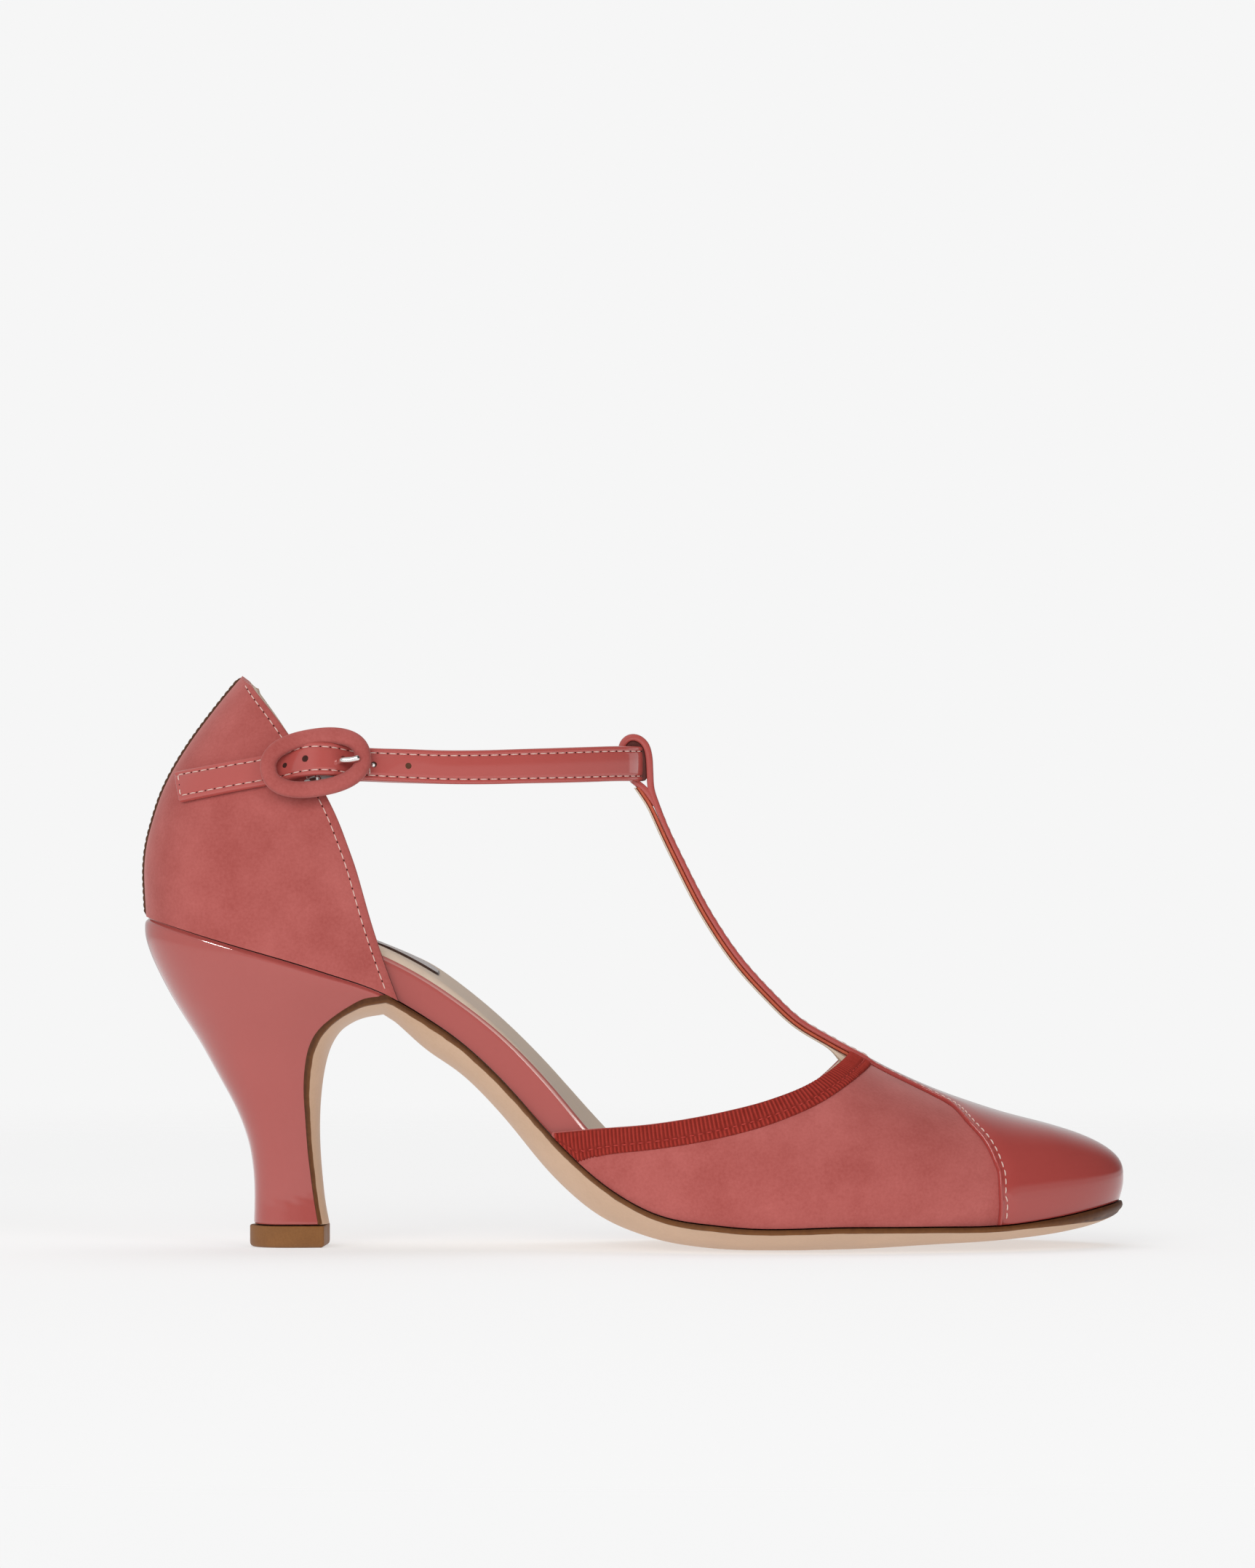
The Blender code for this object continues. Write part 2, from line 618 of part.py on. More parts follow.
def across_points(lateral, medial, share):
    # Points from one edge to the other of a ring
    return lateral + (medial - lateral) * share


def build_insole(collection):
    lateral, medial, _ = outline(-INSOLE_INSET)
    shares = across_shares()
    height = bed_insole(STATIONS)
    half = (medial[:, 1] - lateral[:, 1]) / 2
    round_in = np.minimum(INSOLE_ROUND, half * INSOLE_ROUND_MOST) / np.maximum(2 * half, TINY)
    rings = []
    for share in shares:
        x = across_points(lateral[:, 0], medial[:, 0], share)
        y = across_points(lateral[:, 1], medial[:, 1], share)
        rings.append(np.stack([x, y, bed_at(x, 2 * share - 1) + GAP / 2], axis=1))
    top = []
    for share in shares[::-1]:
        inside = round_in + share * (1 - 2 * round_in)
        x = across_points(lateral[:, 0], medial[:, 0], inside)
        y = across_points(lateral[:, 1], medial[:, 1], inside)
        lift = bed_z(x) + bed_arch(x) * share**2 + height
        top.append(np.stack([x, y, lift], axis=1))
    edges = {}
    for side, edge in ((LATERAL, lateral), (MEDIAL, medial)):
        foot = bed_z(edge[:, 0]) + bed_arch(edge[:, 0]) * (1 + side) / 2
        edges[side] = np.stack([edge[:, 0], edge[:, 1], foot + height - INSOLE_ROUND_DROP], axis=1)
    grid = np.stack(rings + [edges[MEDIAL]] + top + [edges[LATERAL]], axis=1)
    thing = new_object("insole", grid_mesh("insole", grid, closed_rows=True), collection)
    paint(thing, PATENT)


def heel_outline(share, side):
    # Half width of a heel section against its greatest half width, from back (0) to breast (1)
    return seat_edge(share * (SEAT_FRONT - COUNTER[2].back), side) / (HEEL_HALF + SEAT_OUT)


def build_heel(collection):
    share = np.linspace(0, 1, HEEL_COUNT) ** HEEL_CLOSE
    rings = []
    for number, row in enumerate(HEEL):
        x = row.back_x + (row.breast_x - row.back_x) * share
        z = row.back_z + (row.breast_z - row.back_z) * share
        if number == 0:
            z = bed_z(x) - GAP / 2
        lateral = np.stack([x, row.half * heel_outline(share, LATERAL), z], axis=1)
        medial = np.stack([x, row.half * heel_outline(share, MEDIAL), z], axis=1)
        rings.append((lateral, medial))
    mesh = bpy.data.meshes.new("heel")
    walls = np.stack([np.concatenate([lateral[::-1], medial[1:]]) for lateral, medial in rings])
    work = bmesh.new()
    rows, columns = walls.shape[:2]
    verts = [work.verts.new(point) for point in to_shoe(walls.reshape(-1, 3))]
    for row in range(rows - 1):
        for column in range(columns):
            beside = (column + 1) % columns
            start = row * columns
            corners = (start + column, start + beside, start + columns + beside, start + columns + column)
            work.faces.new([verts[corner] for corner in corners])
    for end in (0, (rows - 1) * columns):
        for column in range(columns // 2 - 1):
            pair = (column, column + 1, columns - 2 - column, columns - 1 - column)
            work.faces.new([verts[end + corner] for corner in pair])
        middle = columns // 2
        work.faces.new([verts[end + middle - 1], verts[end + middle], verts[end + middle + 1]])
    bmesh.ops.recalc_face_normals(work, faces=work.faces)
    work.to_mesh(mesh)
    work.free()
    thing = new_object("heel", mesh, collection)
    paint(thing, PATENT)


def build_outsole(collection):
    first = int(np.searchsorted(STATIONS, SEAT_FRONT - TINY)) + 1
    lateral, medial, _ = outline(bed_welt(STATIONS))
    inner_lateral, inner_medial, _ = outline(0.0)
    shares = across_shares()
    middle = np.abs(2 * shares - 1)
    crown = 1 - middle**SOLE_CROWN_POWER
    rings = []
    for row in HEEL[::-1]:
        ends = row.half * np.array([heel_outline(1.0, LATERAL), heel_outline(1.0, MEDIAL)])
        y = across_points(ends[0], ends[1], shares)
        step = np.array([row.flap_x - row.breast_x, row.flap_z - row.breast_z])
        gap = GAP / np.linalg.norm(step)
        back = np.array([row.breast_x, row.breast_z]) + step * gap
        if row is HEEL[-1]:
            back = np.array([row.breast_x + GAP, row.breast_z])
        if row is HEEL[0]:
            back = np.array([row.breast_x + GAP, bed_z(row.breast_x) - GAP / 2])
        amount = FLAP_EDGE + (1 - FLAP_EDGE) * crown
        reach = np.array([row.flap_x, row.flap_z]) - back
        front_x = back[0] + reach[0] * amount
        front_z = back[1] + reach[1] * amount
        flat = np.ones_like(y)
        upper = np.stack([back[0] * flat, y, back[1] * flat], axis=1)
        lower = np.stack([front_x, y, front_z], axis=1)
        rings.append(np.concatenate([upper, lower[::-1]]))
    for number in range(first, COUNT):
        x = across_points(lateral[number, 0], medial[number, 0], shares)
        y = across_points(lateral[number, 1], medial[number, 1], shares)
        span = inner_medial[number, 1] - inner_lateral[number, 1]
        across = np.clip(2 * (y - inner_lateral[number, 1]) / max(span, TINY) - 1, -1, 1)
        edge = bed_z(x) + bed_arch(x) * ((1 + across) / 2) ** 2
        top = bed_at(x, across) - GAP / 2
        low = edge - SOLE_EDGE - (bed_depth(x) - SOLE_EDGE) * crown
        low = np.maximum(np.minimum(low, top - SOLE_EDGE + GAP / 2), 0.0)
        upper = np.stack([x, y, top], axis=1)
        lower = np.stack([x, y, low], axis=1)
        rings.append(np.concatenate([upper, lower[::-1]]))
    grid = np.stack(rings)
    mesh = grid_mesh("outsole", grid, closed_rows=True, cap_first=True)
    thing = new_object("outsole", mesh, collection)
    paint(thing, LEATHER)


def build_top_piece(collection):
    share = np.linspace(0, 1, TOP_PIECE_COUNT) ** HEEL_CLOSE
    x = TOP_PIECE_BACK + (TOP_PIECE_FRONT - TOP_PIECE_CORNER - TOP_PIECE_BACK) * share
    half = TOP_PIECE_HALF * heel_outline(share, LATERAL)
    nose = np.array([[TOP_PIECE_FRONT, half[-1] + TOP_PIECE_CORNER]])
    lateral = np.concatenate([np.stack([x, half], axis=1), nose])
    medial = lateral * (1, -1)
    ring = np.concatenate([lateral[::-1], medial[1:]])
    flat = np.ones((len(ring), 1))
    height = TOP_PIECE_HEIGHT * flat
    grid = np.stack([np.hstack([ring, 0 * flat]), np.hstack([ring, height])])
    mesh = grid_mesh("top_piece", grid, closed_rows=True, cap_first=True, cap_last=True)
    thing = new_object("top_piece", mesh, collection)
    ease = thing.modifiers.new("ease", "BEVEL")
    ease.width = TOP_PIECE_BEVEL * MM
    ease.segments = 1
    ease.limit_method = "ANGLE"
    ease.angle_limit = TOP_PIECE_EASE_ANGLE
    paint(thing, RUBBER)


def curve_through(points, count, close_length=0.0, close_count=0):
    # Evenly spaced points on a smooth curve through a list of points, with a closer start if asked
    points = np.asarray(points, float)
    run = np.concatenate([[0], np.cumsum(np.linalg.norm(np.diff(points, axis=0), axis=1))])
    Knot = namedtuple("Knot", "s value")
    start = np.linspace(0, close_length, close_count, endpoint=False)
    places = np.concatenate([start, np.linspace(close_length, run[-1], count)])
    columns = []
    for column in points.T:
        columns.append(smooth([Knot(s, value) for s, value in zip(run, column)], "s", "value")(places))
    return np.stack(columns, axis=1)


def strap_edges(rows, side):
    # Lower and upper edge of the ankle strap where it lies on the counter
    edges = []
    for row in rows:
        near = counter_y(np.array([row.x - LAY_STEP, row.x + LAY_STEP]), row.z, side)
        turn = np.array([near[1] - near[0], -2 * LAY_STEP])
        turn = turn / np.linalg.norm(turn) * (-side)
        pair = []
        for height in (row.z - row.half, row.z + row.half):
            y = float(counter_y(row.x, height, side))
            pair.extend((row.x - abs(turn[0]) * row.out, y + side * abs(turn[1]) * row.out, height))
        edges.append(pair)
    return edges


def ankle_strap_grid():
    edges = strap_edges(STRAP_LATERAL, LATERAL)
    for row in STRAP_FRONT:
        edges.append((row.x, row.y, row.z - STRAP_HALF, row.x, row.y, row.z + STRAP_HALF))
    edges.extend(strap_edges(STRAP_MEDIAL, MEDIAL))
    line = curve_through(edges, STRAP_COUNT, STRAP_CLOSE, STRAP_CLOSE_COUNT)
    return np.stack([line[:, :3], line[:, 3:]])


def hole_cutter(name, radius, ends, collection):
    # Cylinder from one end to the other
    start, end = (Vector(place) for place in to_shoe(ends))
    mesh = bpy.data.meshes.new(name)
    work = bmesh.new()
    length = (end - start).length
    bmesh.ops.create_cone(
        work, cap_ends=True, segments=ROD_SEGMENTS, radius1=radius * MM, radius2=radius * MM, depth=length
    )
    work.to_mesh(mesh)
    work.free()
    thing = new_cutter(name, mesh, collection)
    thing.location = (start + end) / 2
    thing.rotation_euler = (end - start).to_track_quat("Z", "Y").to_euler()
    return thing


def build_ankle_strap(collection, cutters):
    thing = shell("ankle_strap", ankle_strap_grid(), STRAP_THICK, 0, collection)
    hole = hole_cutter("prong_hole", PRONG_HOLE, prong_line()[:2], cutters)
    cut(thing, "prong hole", "DIFFERENCE", hole)
    paint(thing, PATENT)


def build_t_strap(collection):
    rows = [(row.x, row.z, row.lining, row.half) for row in T_STRAP]
    line = curve_through(rows, T_STRAP_COUNT)
    direction = np.gradient(line[:, :2], axis=0)
    direction /= np.linalg.norm(direction, axis=1, keepdims=True)
    inward = np.stack([-direction[:, 1], direction[:, 0]], axis=1)
    rings = []
    for number, (x, z, lining, half) in enumerate(line):
        lining = max(lining, 0.0)
        outer = np.array([x, z]) - inward[number] * T_STRAP_LAYER / 2
        inner = np.array([x, z]) + inward[number] * (T_STRAP_LAYER / 2 + lining)
        rings.append(
            [
                (outer[0], RIDGE_Y - half, outer[1]),
                (outer[0], RIDGE_Y + half, outer[1]),
                (inner[0], RIDGE_Y + half, inner[1]),
                (inner[0], RIDGE_Y - half, inner[1]),
            ]
        )
    mesh = grid_mesh("t_strap", np.array(rings), closed_rows=True, cap_first=True, cap_last=True)
    thing = new_object("t_strap", mesh, collection)
    paint(thing, PATENT)


def rod(name, radius, points, collection):
    # Round rod along a line of points in millimetres, closed at both ends
    curve = bpy.data.curves.new(name, "CURVE")
    curve.dimensions = "3D"
    curve.bevel_depth = radius * MM
    curve.bevel_resolution = ROD_SEGMENTS // 4 - 1
    curve.use_fill_caps = True
    spline = curve.splines.new("POLY")
    spline.points.add(len(points) - 1)
    for point, place in zip(spline.points, to_shoe(points)):
        point.co = (*place, 1.0)
    return new_object(name, curve, collection)


def buckle_turn():
    # Frame turned to lie along the counter surface and tilted with the strap
    rise = counter_y(BUCKLE_X, np.array([BUCKLE_Z - STRAP_HALF, BUCKLE_Z + STRAP_HALF]), LATERAL)
    run = counter_y(np.array([BUCKLE_X - BUCKLE_LONG / 2, BUCKLE_X + BUCKLE_LONG / 2]), BUCKLE_Z, LATERAL)
    lean = math.atan2(rise[1] - rise[0], 2 * STRAP_HALF)
    yaw = math.atan2(run[1] - run[0], BUCKLE_LONG)
    tilt = Matrix.Rotation(-BUCKLE_TILT, 3, "Y")
    return Matrix.Rotation(yaw, 3, "Z") @ Matrix.Rotation(-lean, 3, "X") @ tilt


def on_buckle(along, out, up):
    # Place in millimetres from the buckle's own directions; out is away from the foot
    surface = float(counter_y(BUCKLE_X, BUCKLE_Z, LATERAL))
    middle_y = surface - STRAP_LATERAL[0].out - STRAP_THICK / 2 - BUCKLE_GAP - BUCKLE_THICK / 2
    return Vector((BUCKLE_X, middle_y, BUCKLE_Z)) + buckle_turn() @ Vector((along, -out, up))


def build_buckle(collection):
    turn = np.linspace(0, 2 * math.pi, BUCKLE_COUNT, endpoint=False)
    power = 2 / BUCKLE_SQUARENESS
    long_half = (BUCKLE_LONG - BUCKLE_BAND) / 2
    short_half = (BUCKLE_SHORT - BUCKLE_BAND) / 2
    section = np.linspace(0, 2 * math.pi, BUCKLE_SECTION, endpoint=False)
    grow = np.cos(section) * BUCKLE_BAND / 2
    rings = []
    for angle in turn:
        along = math.copysign(abs(math.cos(angle)) ** power, math.cos(angle))
        up = math.copysign(abs(math.sin(angle)) ** power, math.sin(angle))
        facing = np.array([along / long_half, up / short_half])
        facing /= np.linalg.norm(facing)
        x = SHOE_LENGTH / 2 + along * long_half + facing[0] * grow
        z = up * short_half + facing[1] * grow
        rings.append(np.stack([x, np.sin(section) * BUCKLE_THICK / 2, z], axis=1))
    mesh = grid_mesh("buckle_frame", np.array(rings + rings[:1]), closed_rows=True)
    frame = new_object("buckle_frame", mesh, collection)
    frame.location = to_shoe(on_buckle(0, 0, 0))
    frame.rotation_euler = buckle_turn().to_euler()
    paint(frame, SUEDE)
    reach = short_half - BUCKLE_BAND / 2 - BAR_SHORT
    ends = [on_buckle(0, -BUCKLE_THICK / 2, -reach), on_buckle(0, -BUCKLE_THICK / 2, reach)]
    bar = rod("buckle_bar", BAR_RADIUS, ends, collection)
    paint(bar, METAL)
    prong = rod("buckle_prong", PRONG_RADIUS, prong_line(), collection)
    paint(prong, METAL)


def prong_line():
    # Prong from beside the bar, out through the strap and over the toe side of the frame
    over = BUCKLE_THICK / 2 + GAP + PRONG_RADIUS
    start = BAR_RADIUS + PRONG_RADIUS + GAP
    tip = BUCKLE_LONG / 2 - BUCKLE_BAND / 2
    root = on_buckle(start, -BUCKLE_THICK / 2, PRONG_ROOT_UP)
    rest = on_buckle(tip - PRONG_BEND, over, PRONG_TIP_UP)
    return [root, rest, on_buckle(tip + PRONG_PAST, over - PRONG_DROP, PRONG_TIP_UP)]


def main():
    for thing in list(bpy.data.objects):
        bpy.data.objects.remove(thing, do_unlink=True)
    scene = bpy.context.scene
    shoe = bpy.data.collections.new("pump_shoe")
    cutters = bpy.data.collections.new("cutters")
    scene.collection.children.link(shoe)
    scene.collection.children.link(cutters)
    build_outsole(shoe)
    build_heel(shoe)
    build_top_piece(shoe)
    build_insole(shoe)
    build_vamp(shoe)
    build_toe_cap(shoe, cutters)
    build_counter(shoe)
    build_t_strap(shoe)
    build_ankle_strap(shoe, cutters)
    build_buckle(shoe)


main()
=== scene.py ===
import math

import bmesh
import bpy
import numpy as np
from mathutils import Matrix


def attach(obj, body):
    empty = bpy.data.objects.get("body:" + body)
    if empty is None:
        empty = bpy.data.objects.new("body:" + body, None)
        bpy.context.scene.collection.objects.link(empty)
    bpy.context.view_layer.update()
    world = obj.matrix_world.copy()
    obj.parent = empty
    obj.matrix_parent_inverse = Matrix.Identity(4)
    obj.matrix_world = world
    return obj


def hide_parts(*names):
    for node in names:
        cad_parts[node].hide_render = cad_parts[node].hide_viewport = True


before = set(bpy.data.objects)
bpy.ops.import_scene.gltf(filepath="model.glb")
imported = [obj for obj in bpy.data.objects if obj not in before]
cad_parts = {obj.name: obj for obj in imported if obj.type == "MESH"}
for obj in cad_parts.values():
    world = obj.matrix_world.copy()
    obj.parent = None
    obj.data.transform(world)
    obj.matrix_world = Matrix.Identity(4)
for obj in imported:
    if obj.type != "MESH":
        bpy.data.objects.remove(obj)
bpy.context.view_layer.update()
print("frame:", len(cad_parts), "parts")

# lengths of the shoe are millimetres: x from the heel back to the toe, y from outer to inner side, z up
mm = 0.001
outer, inner = bothSides = -1.0, 1.0
lastForm = {
    "length": 229.3, "gap": 0.3,
    "heelBack": 3.0, "heelRound": 29.0, "heelHalf": 23.7, "heelPower": 2.3,
    "ballHalf": 34.9, "ballX": (150.0, 166.0),
    "tipX": 225.45, "tipY": 4.0, "toePower": 1.9, "toeRound": 1.7, "toeFlat": 12.0,
    "seatFront": 58.2, "throatX": 165.5, "focusX": 211.0, "ridgeY": 3.0, "ridgeEndSlope": -0.27,
    "vampOut": 1.9, "seatOut": 2.2, "wingShare": 0.45, "innerDrop": 4.4, "innerDropFade": 6.0,
    # the outline's joints are rounded between two places along the shoe, by a bell so many samples wide
    "roundX": (10.0, 214.0), "roundRun": 18.0, "roundSamples": 30, "outlineCount": 4000,
    "gather": 2.2,  # columns of counter, heel and lift gather at the back by this power
    # x, bed height, arch lift, dish, sole depth, insole height, welt
    "bed": [
        (0.0, 77.3, 0.0, 0.0, 5.0, 8.0, 2.3), (18.0, 71.9, 0.0, 0.0, 5.0, 8.4, 2.3),
        (43.0, 64.5, 0.0, 0.0, 5.0, 8.8, 2.3), (58.2, 59.0, 0.0, 0.0, 5.5, 8.8, 2.3),
        (66.0, 54.4, 1.5, 1.2, 8.3, 9.2, 1.0), (75.0, 48.2, 1.8, 3.2, 8.3, 9.3, 0.6),
        (85.0, 38.9, 2.0, 4.6, 9.3, 10.5, 0.6), (95.0, 27.6, 2.5, 5.0, 10.3, 11.3, 1.4),
        (106.0, 17.0, 3.0, 4.4, 9.5, 8.8, 2.3), (118.0, 9.6, 1.6, 3.2, 7.2, 5.6, 2.6),
        (136.0, 6.2, 0.0, 2.4, 6.6, 3.8, 2.6), (165.0, 6.1, 0.0, 2.2, 6.5, 3.5, 2.6),
        (185.0, 6.0, 0.0, 1.6, 5.3, 3.4, 2.6), (199.0, 6.0, 0.0, 1.0, 4.5, 3.3, 3.6),
        (214.0, 7.7, 0.0, 0.4, 4.5, 3.2, 3.8), (229.0, 10.6, 0.0, 0.0, 4.2, 3.0, 3.8),
    ],
    # x, outer half width, inner half width of the insole between heel round and ball
    "waist": [
        (32.0, 23.7, 23.7), (45.0, 23.2, 22.8), (60.0, 20.9, 19.4), (73.0, 19.9, 17.2),
        (85.0, 20.1, 16.4), (96.0, 21.8, 17.3), (107.0, 24.7, 20.0), (120.0, 28.8, 24.4),
        (136.0, 33.1, 30.0), (150.0, 34.9, 33.6), (166.0, 34.9, 34.9),
    ],
    # x, ridge, topline, height of the widest line, its swell, squareness of the section
    "forepart": [
        (96.0, 148.0, 27.2, 7.0, 0.8, 2.0), (104.0, 130.0, 28.0, 7.5, 1.0, 2.0),
        (121.0, 96.0, 29.65, 8.0, 1.4, 2.0), (138.0, 66.4, 32.95, 8.5, 1.8, 2.0),
        (147.0, 56.4, 35.45, 8.5, 1.8, 2.0), (156.0, 50.0, 39.2, 8.5, 1.8, 2.1),
        (165.5, 45.4, 45.4, 8.5, 1.8, 2.2), (172.4, 41.4, 41.4, 8.0, 1.8, 2.3),
        (178.0, 38.7, 38.7, 7.5, 1.7, 2.4), (184.5, 35.8, 35.8, 7.0, 1.6, 2.5),
        (190.0, 33.7, 33.7, 6.6, 1.5, 2.6), (195.0, 32.0, 32.0, 6.2, 1.4, 2.7),
        (198.0, 31.0, 31.0, 6.0, 1.4, 2.8), (199.2, 30.6, 30.6, 6.0, 1.3, 2.8),
        (211.0, 27.5, 27.5, 5.4, 1.1, 3.0), (232.0, 21.9, 21.9, 5.0, 1.0, 3.0),
    ],
}


def tableCurve(keys, values, blur=2.0):
    # cubic through a table with slopes from its neighbours, then averaged under a bell of width blur
    keys, values = np.asarray(keys, float), np.asarray(values, float)
    slopes = np.gradient(values, keys)
    stepSize = min(0.25, (keys[-1] - keys[0]) / 400)
    pad = np.arange(1, int(4 * blur / stepSize) + 2) * stepSize
    place = np.concatenate([keys[0] - pad[::-1], np.arange(keys[0], keys[-1], stepSize), keys[-1] + pad])
    inside = np.clip(place, keys[0], keys[-1])
    cell = np.clip(np.searchsorted(keys, inside, side="right") - 1, 0, len(keys) - 2)
    width = keys[cell + 1] - keys[cell]
    part = (inside - keys[cell]) / width
    curve = (1 + 2 * part) * (1 - part) ** 2 * values[cell] + part * (1 - part) ** 2 * width * slopes[cell]
    curve += part**2 * (3 - 2 * part) * values[cell + 1] + part**2 * (part - 1) * width * slopes[cell + 1]
    curve += slopes[0] * np.minimum(place - keys[0], 0) + slopes[-1] * np.maximum(place - keys[-1], 0)
    if blur > 0:
        reach = np.arange(-int(3.5 * blur / stepSize), int(3.5 * blur / stepSize) + 1) * stepSize
        weight = np.exp(-0.5 * (reach / blur) ** 2)
        curve = np.convolve(curve, weight / weight.sum(), mode="same")
    return lambda x: np.interp(np.clip(x, keys[0], keys[-1]), place, curve)


def unit(vectors):
    # each vector over its own length
    return vectors / np.maximum(np.linalg.norm(vectors, axis=-1, keepdims=True), 1e-9)


def fullTurn(count):
    # angles once round, the last one on the first
    return np.linspace(0, 2 * np.pi, count)


def runLength(points):
    # length along a line of points, from its start
    return np.concatenate([[0], np.cumsum(np.linalg.norm(np.diff(points, axis=0), axis=1))])


def alongLine(place, run, values):
    # each column of a line's values at places along its length
    return np.stack([np.interp(place, run, column) for column in np.asarray(values).T], -1)


def ramp(value, start, run):
    # share of a run that a value is past its start, kept between 0 and 1
    return np.clip((value - start) / run, 0, 1)


def easeStep(part):
    # step from 0 to 1 with level ends: three squares less two cubes
    return part**2 * (3 - 2 * part)


def between(first, second, shares):
    # grid from one line of points to another by shares of the way
    return first[:, None] + (second - first)[:, None] * shares[:, None]


def quarterRound(part):
    # quarter of a circle that rises from 0 to 1
    return np.sqrt(1 - (1 - part) ** 2)


def bell(distance, width):
    # exponential of minus the squared ratio of distance and width
    return np.exp(-(distance / width) ** 2)


def signedPower(values, power):
    # power of the size of each value, with its sign kept
    return np.sign(values) * np.abs(values) ** power


def softMin(a, b, k):
    # smooth lesser of two values: minus k times the log of the summed exponentials
    return -k * np.logaddexp(-a / k, -b / k)


halfGap = lastForm["gap"] / 2
heelBack, throatX, tipX, ridgeY = (lastForm[key] for key in ("heelBack", "throatX", "tipX", "ridgeY"))
bedTable = np.array(lastForm["bed"]).T
bedZ, bedArchRaw, bedDishRaw, bedDepth, bedInsole, bedWelt = (
    tableCurve(bedTable[0], column) for column in bedTable[1:])
waistTable = np.array(lastForm["waist"]).T
waistHalf = (tableCurve(waistTable[0][:-1], waistTable[1][:-1]), tableCurve(waistTable[0], waistTable[2]))
foreTable = np.array(lastForm["forepart"]).T
ridgeRaw = tableCurve(foreTable[0], foreTable[1], 2.5)
toplineZ = tableCurve(foreTable[0][:7], foreTable[2][:7], 1.5)
swellUp, swellOut, squareness = (tableCurve(foreTable[0], column, 4.0) for column in foreTable[3:])


def bedArch(x):
    # arch lift of the inner edge, never below nothing
    return np.maximum(bedArchRaw(x), 0)


def bedAt(x, across):
    # bed height plus the arch lift towards the inner edge, less the dish in the middle
    dish = np.maximum(bedDishRaw(x), 0) * ramp(tipX, x, lastForm["toeFlat"])
    return bedZ(x) + bedArch(x) * ((1 + across) / 2) ** 2 - dish * (1 - np.minimum(np.abs(across), 1) ** 2)


def edgeY(x, side):
    # insole edge: superellipse round the heel, the waist table, superellipse to the toe tip
    f = lastForm
    index = 0 if side < 0 else 1
    back = np.clip(1 - (x - f["heelBack"]) / f["heelRound"], 0, 1)
    heel = side * f["heelHalf"] * (1 - back ** f["heelPower"]) ** (1 / f["heelPower"])
    ball = f["ballX"][index]
    reach = np.clip((x - ball) / (f["tipX"] - ball), 0, 1)
    toe = f["tipY"] + (side * f["ballHalf"] - f["tipY"]) * (1 - reach ** f["toePower"]) ** (1 / f["toeRound"])
    return np.where(x < f["heelBack"] + f["heelRound"], heel, np.where(x < ball, side * waistHalf[index](x), toe))


def bellMean(values, width):
    # average along a row under a bell so many samples wide, the ends repeated
    reach = np.arange(-4 * width, 4 * width + 1)
    weight = np.exp(-0.5 * (reach / width) ** 2)
    return np.convolve(np.pad(values, 4 * width, mode="edge"), weight / weight.sum(), mode="valid")


def cosineStations(count):
    # places from the heel back to the toe tip, closer together at both ends by a cosine
    turn = np.linspace(0, np.pi, count)
    return heelBack + (tipX - heelBack) * (1 - np.cos(turn)) / 2


def makeOutline():
    # closed insole edge, its joints rounded away from heel and toe, with outward normals: the mean of the two
    # neighbouring directions, turned a quarter
    count = lastForm["outlineCount"]
    x = cosineStations(count)
    ease = np.clip(np.minimum(x - lastForm["roundX"][0], lastForm["roundX"][1] - x) / lastForm["roundRun"], 0, 1)
    sides = [edgeY(x, side) for side in bothSides]
    low, high = (np.stack([x, y + (bellMean(y, lastForm["roundSamples"]) - y) * ease], 1) for y in sides)
    loop = np.concatenate([low, high[-2:0:-1]])
    turn = unit(loop - np.roll(loop, 1, 0)) + unit(np.roll(loop, -1, 0) - loop)
    normal = unit(np.stack([turn[:, 1], -turn[:, 0]], 1))
    innerOrder = np.concatenate([[0], np.arange(len(loop) - 1, count - 2, -1)])
    return x, (low[:, 1], high[:, 1]), (normal[:count], normal[innerOrder])


outlineX, outlineY, outlineNormal = makeOutline()


def edgeAt(along, side):
    # edge point and normal at a place along the shoe, on either side
    isOuter = np.asarray(side) < 0

    def pick(first, second):
        # value from the outer or the inner row
        return np.where(isOuter, np.interp(along, outlineX, first), np.interp(along, outlineX, second))

    normalX = pick(outlineNormal[0][:, 0], outlineNormal[1][:, 0])
    normalY = pick(outlineNormal[0][:, 1], outlineNormal[1][:, 1])
    return pick(outlineY[0], outlineY[1]), normalX, normalY


def ridgeZ(x):
    # ridge of the last, carried on straight past the focus of the toe
    focus = lastForm["focusX"]
    straight = ridgeRaw(focus) + lastForm["ridgeEndSlope"] * (x - focus)
    return np.where(x < focus, ridgeRaw(np.minimum(x, focus)), straight)


def toplineAt(along, side):
    # topline height; the inner side falls away from the throat and levels out by an exponential
    part = 1 - np.exp(-np.maximum(throatX - along, 0) / lastForm["innerDropFade"])
    return toplineZ(along) - lastForm["innerDrop"] * part * (1 + side) / 2


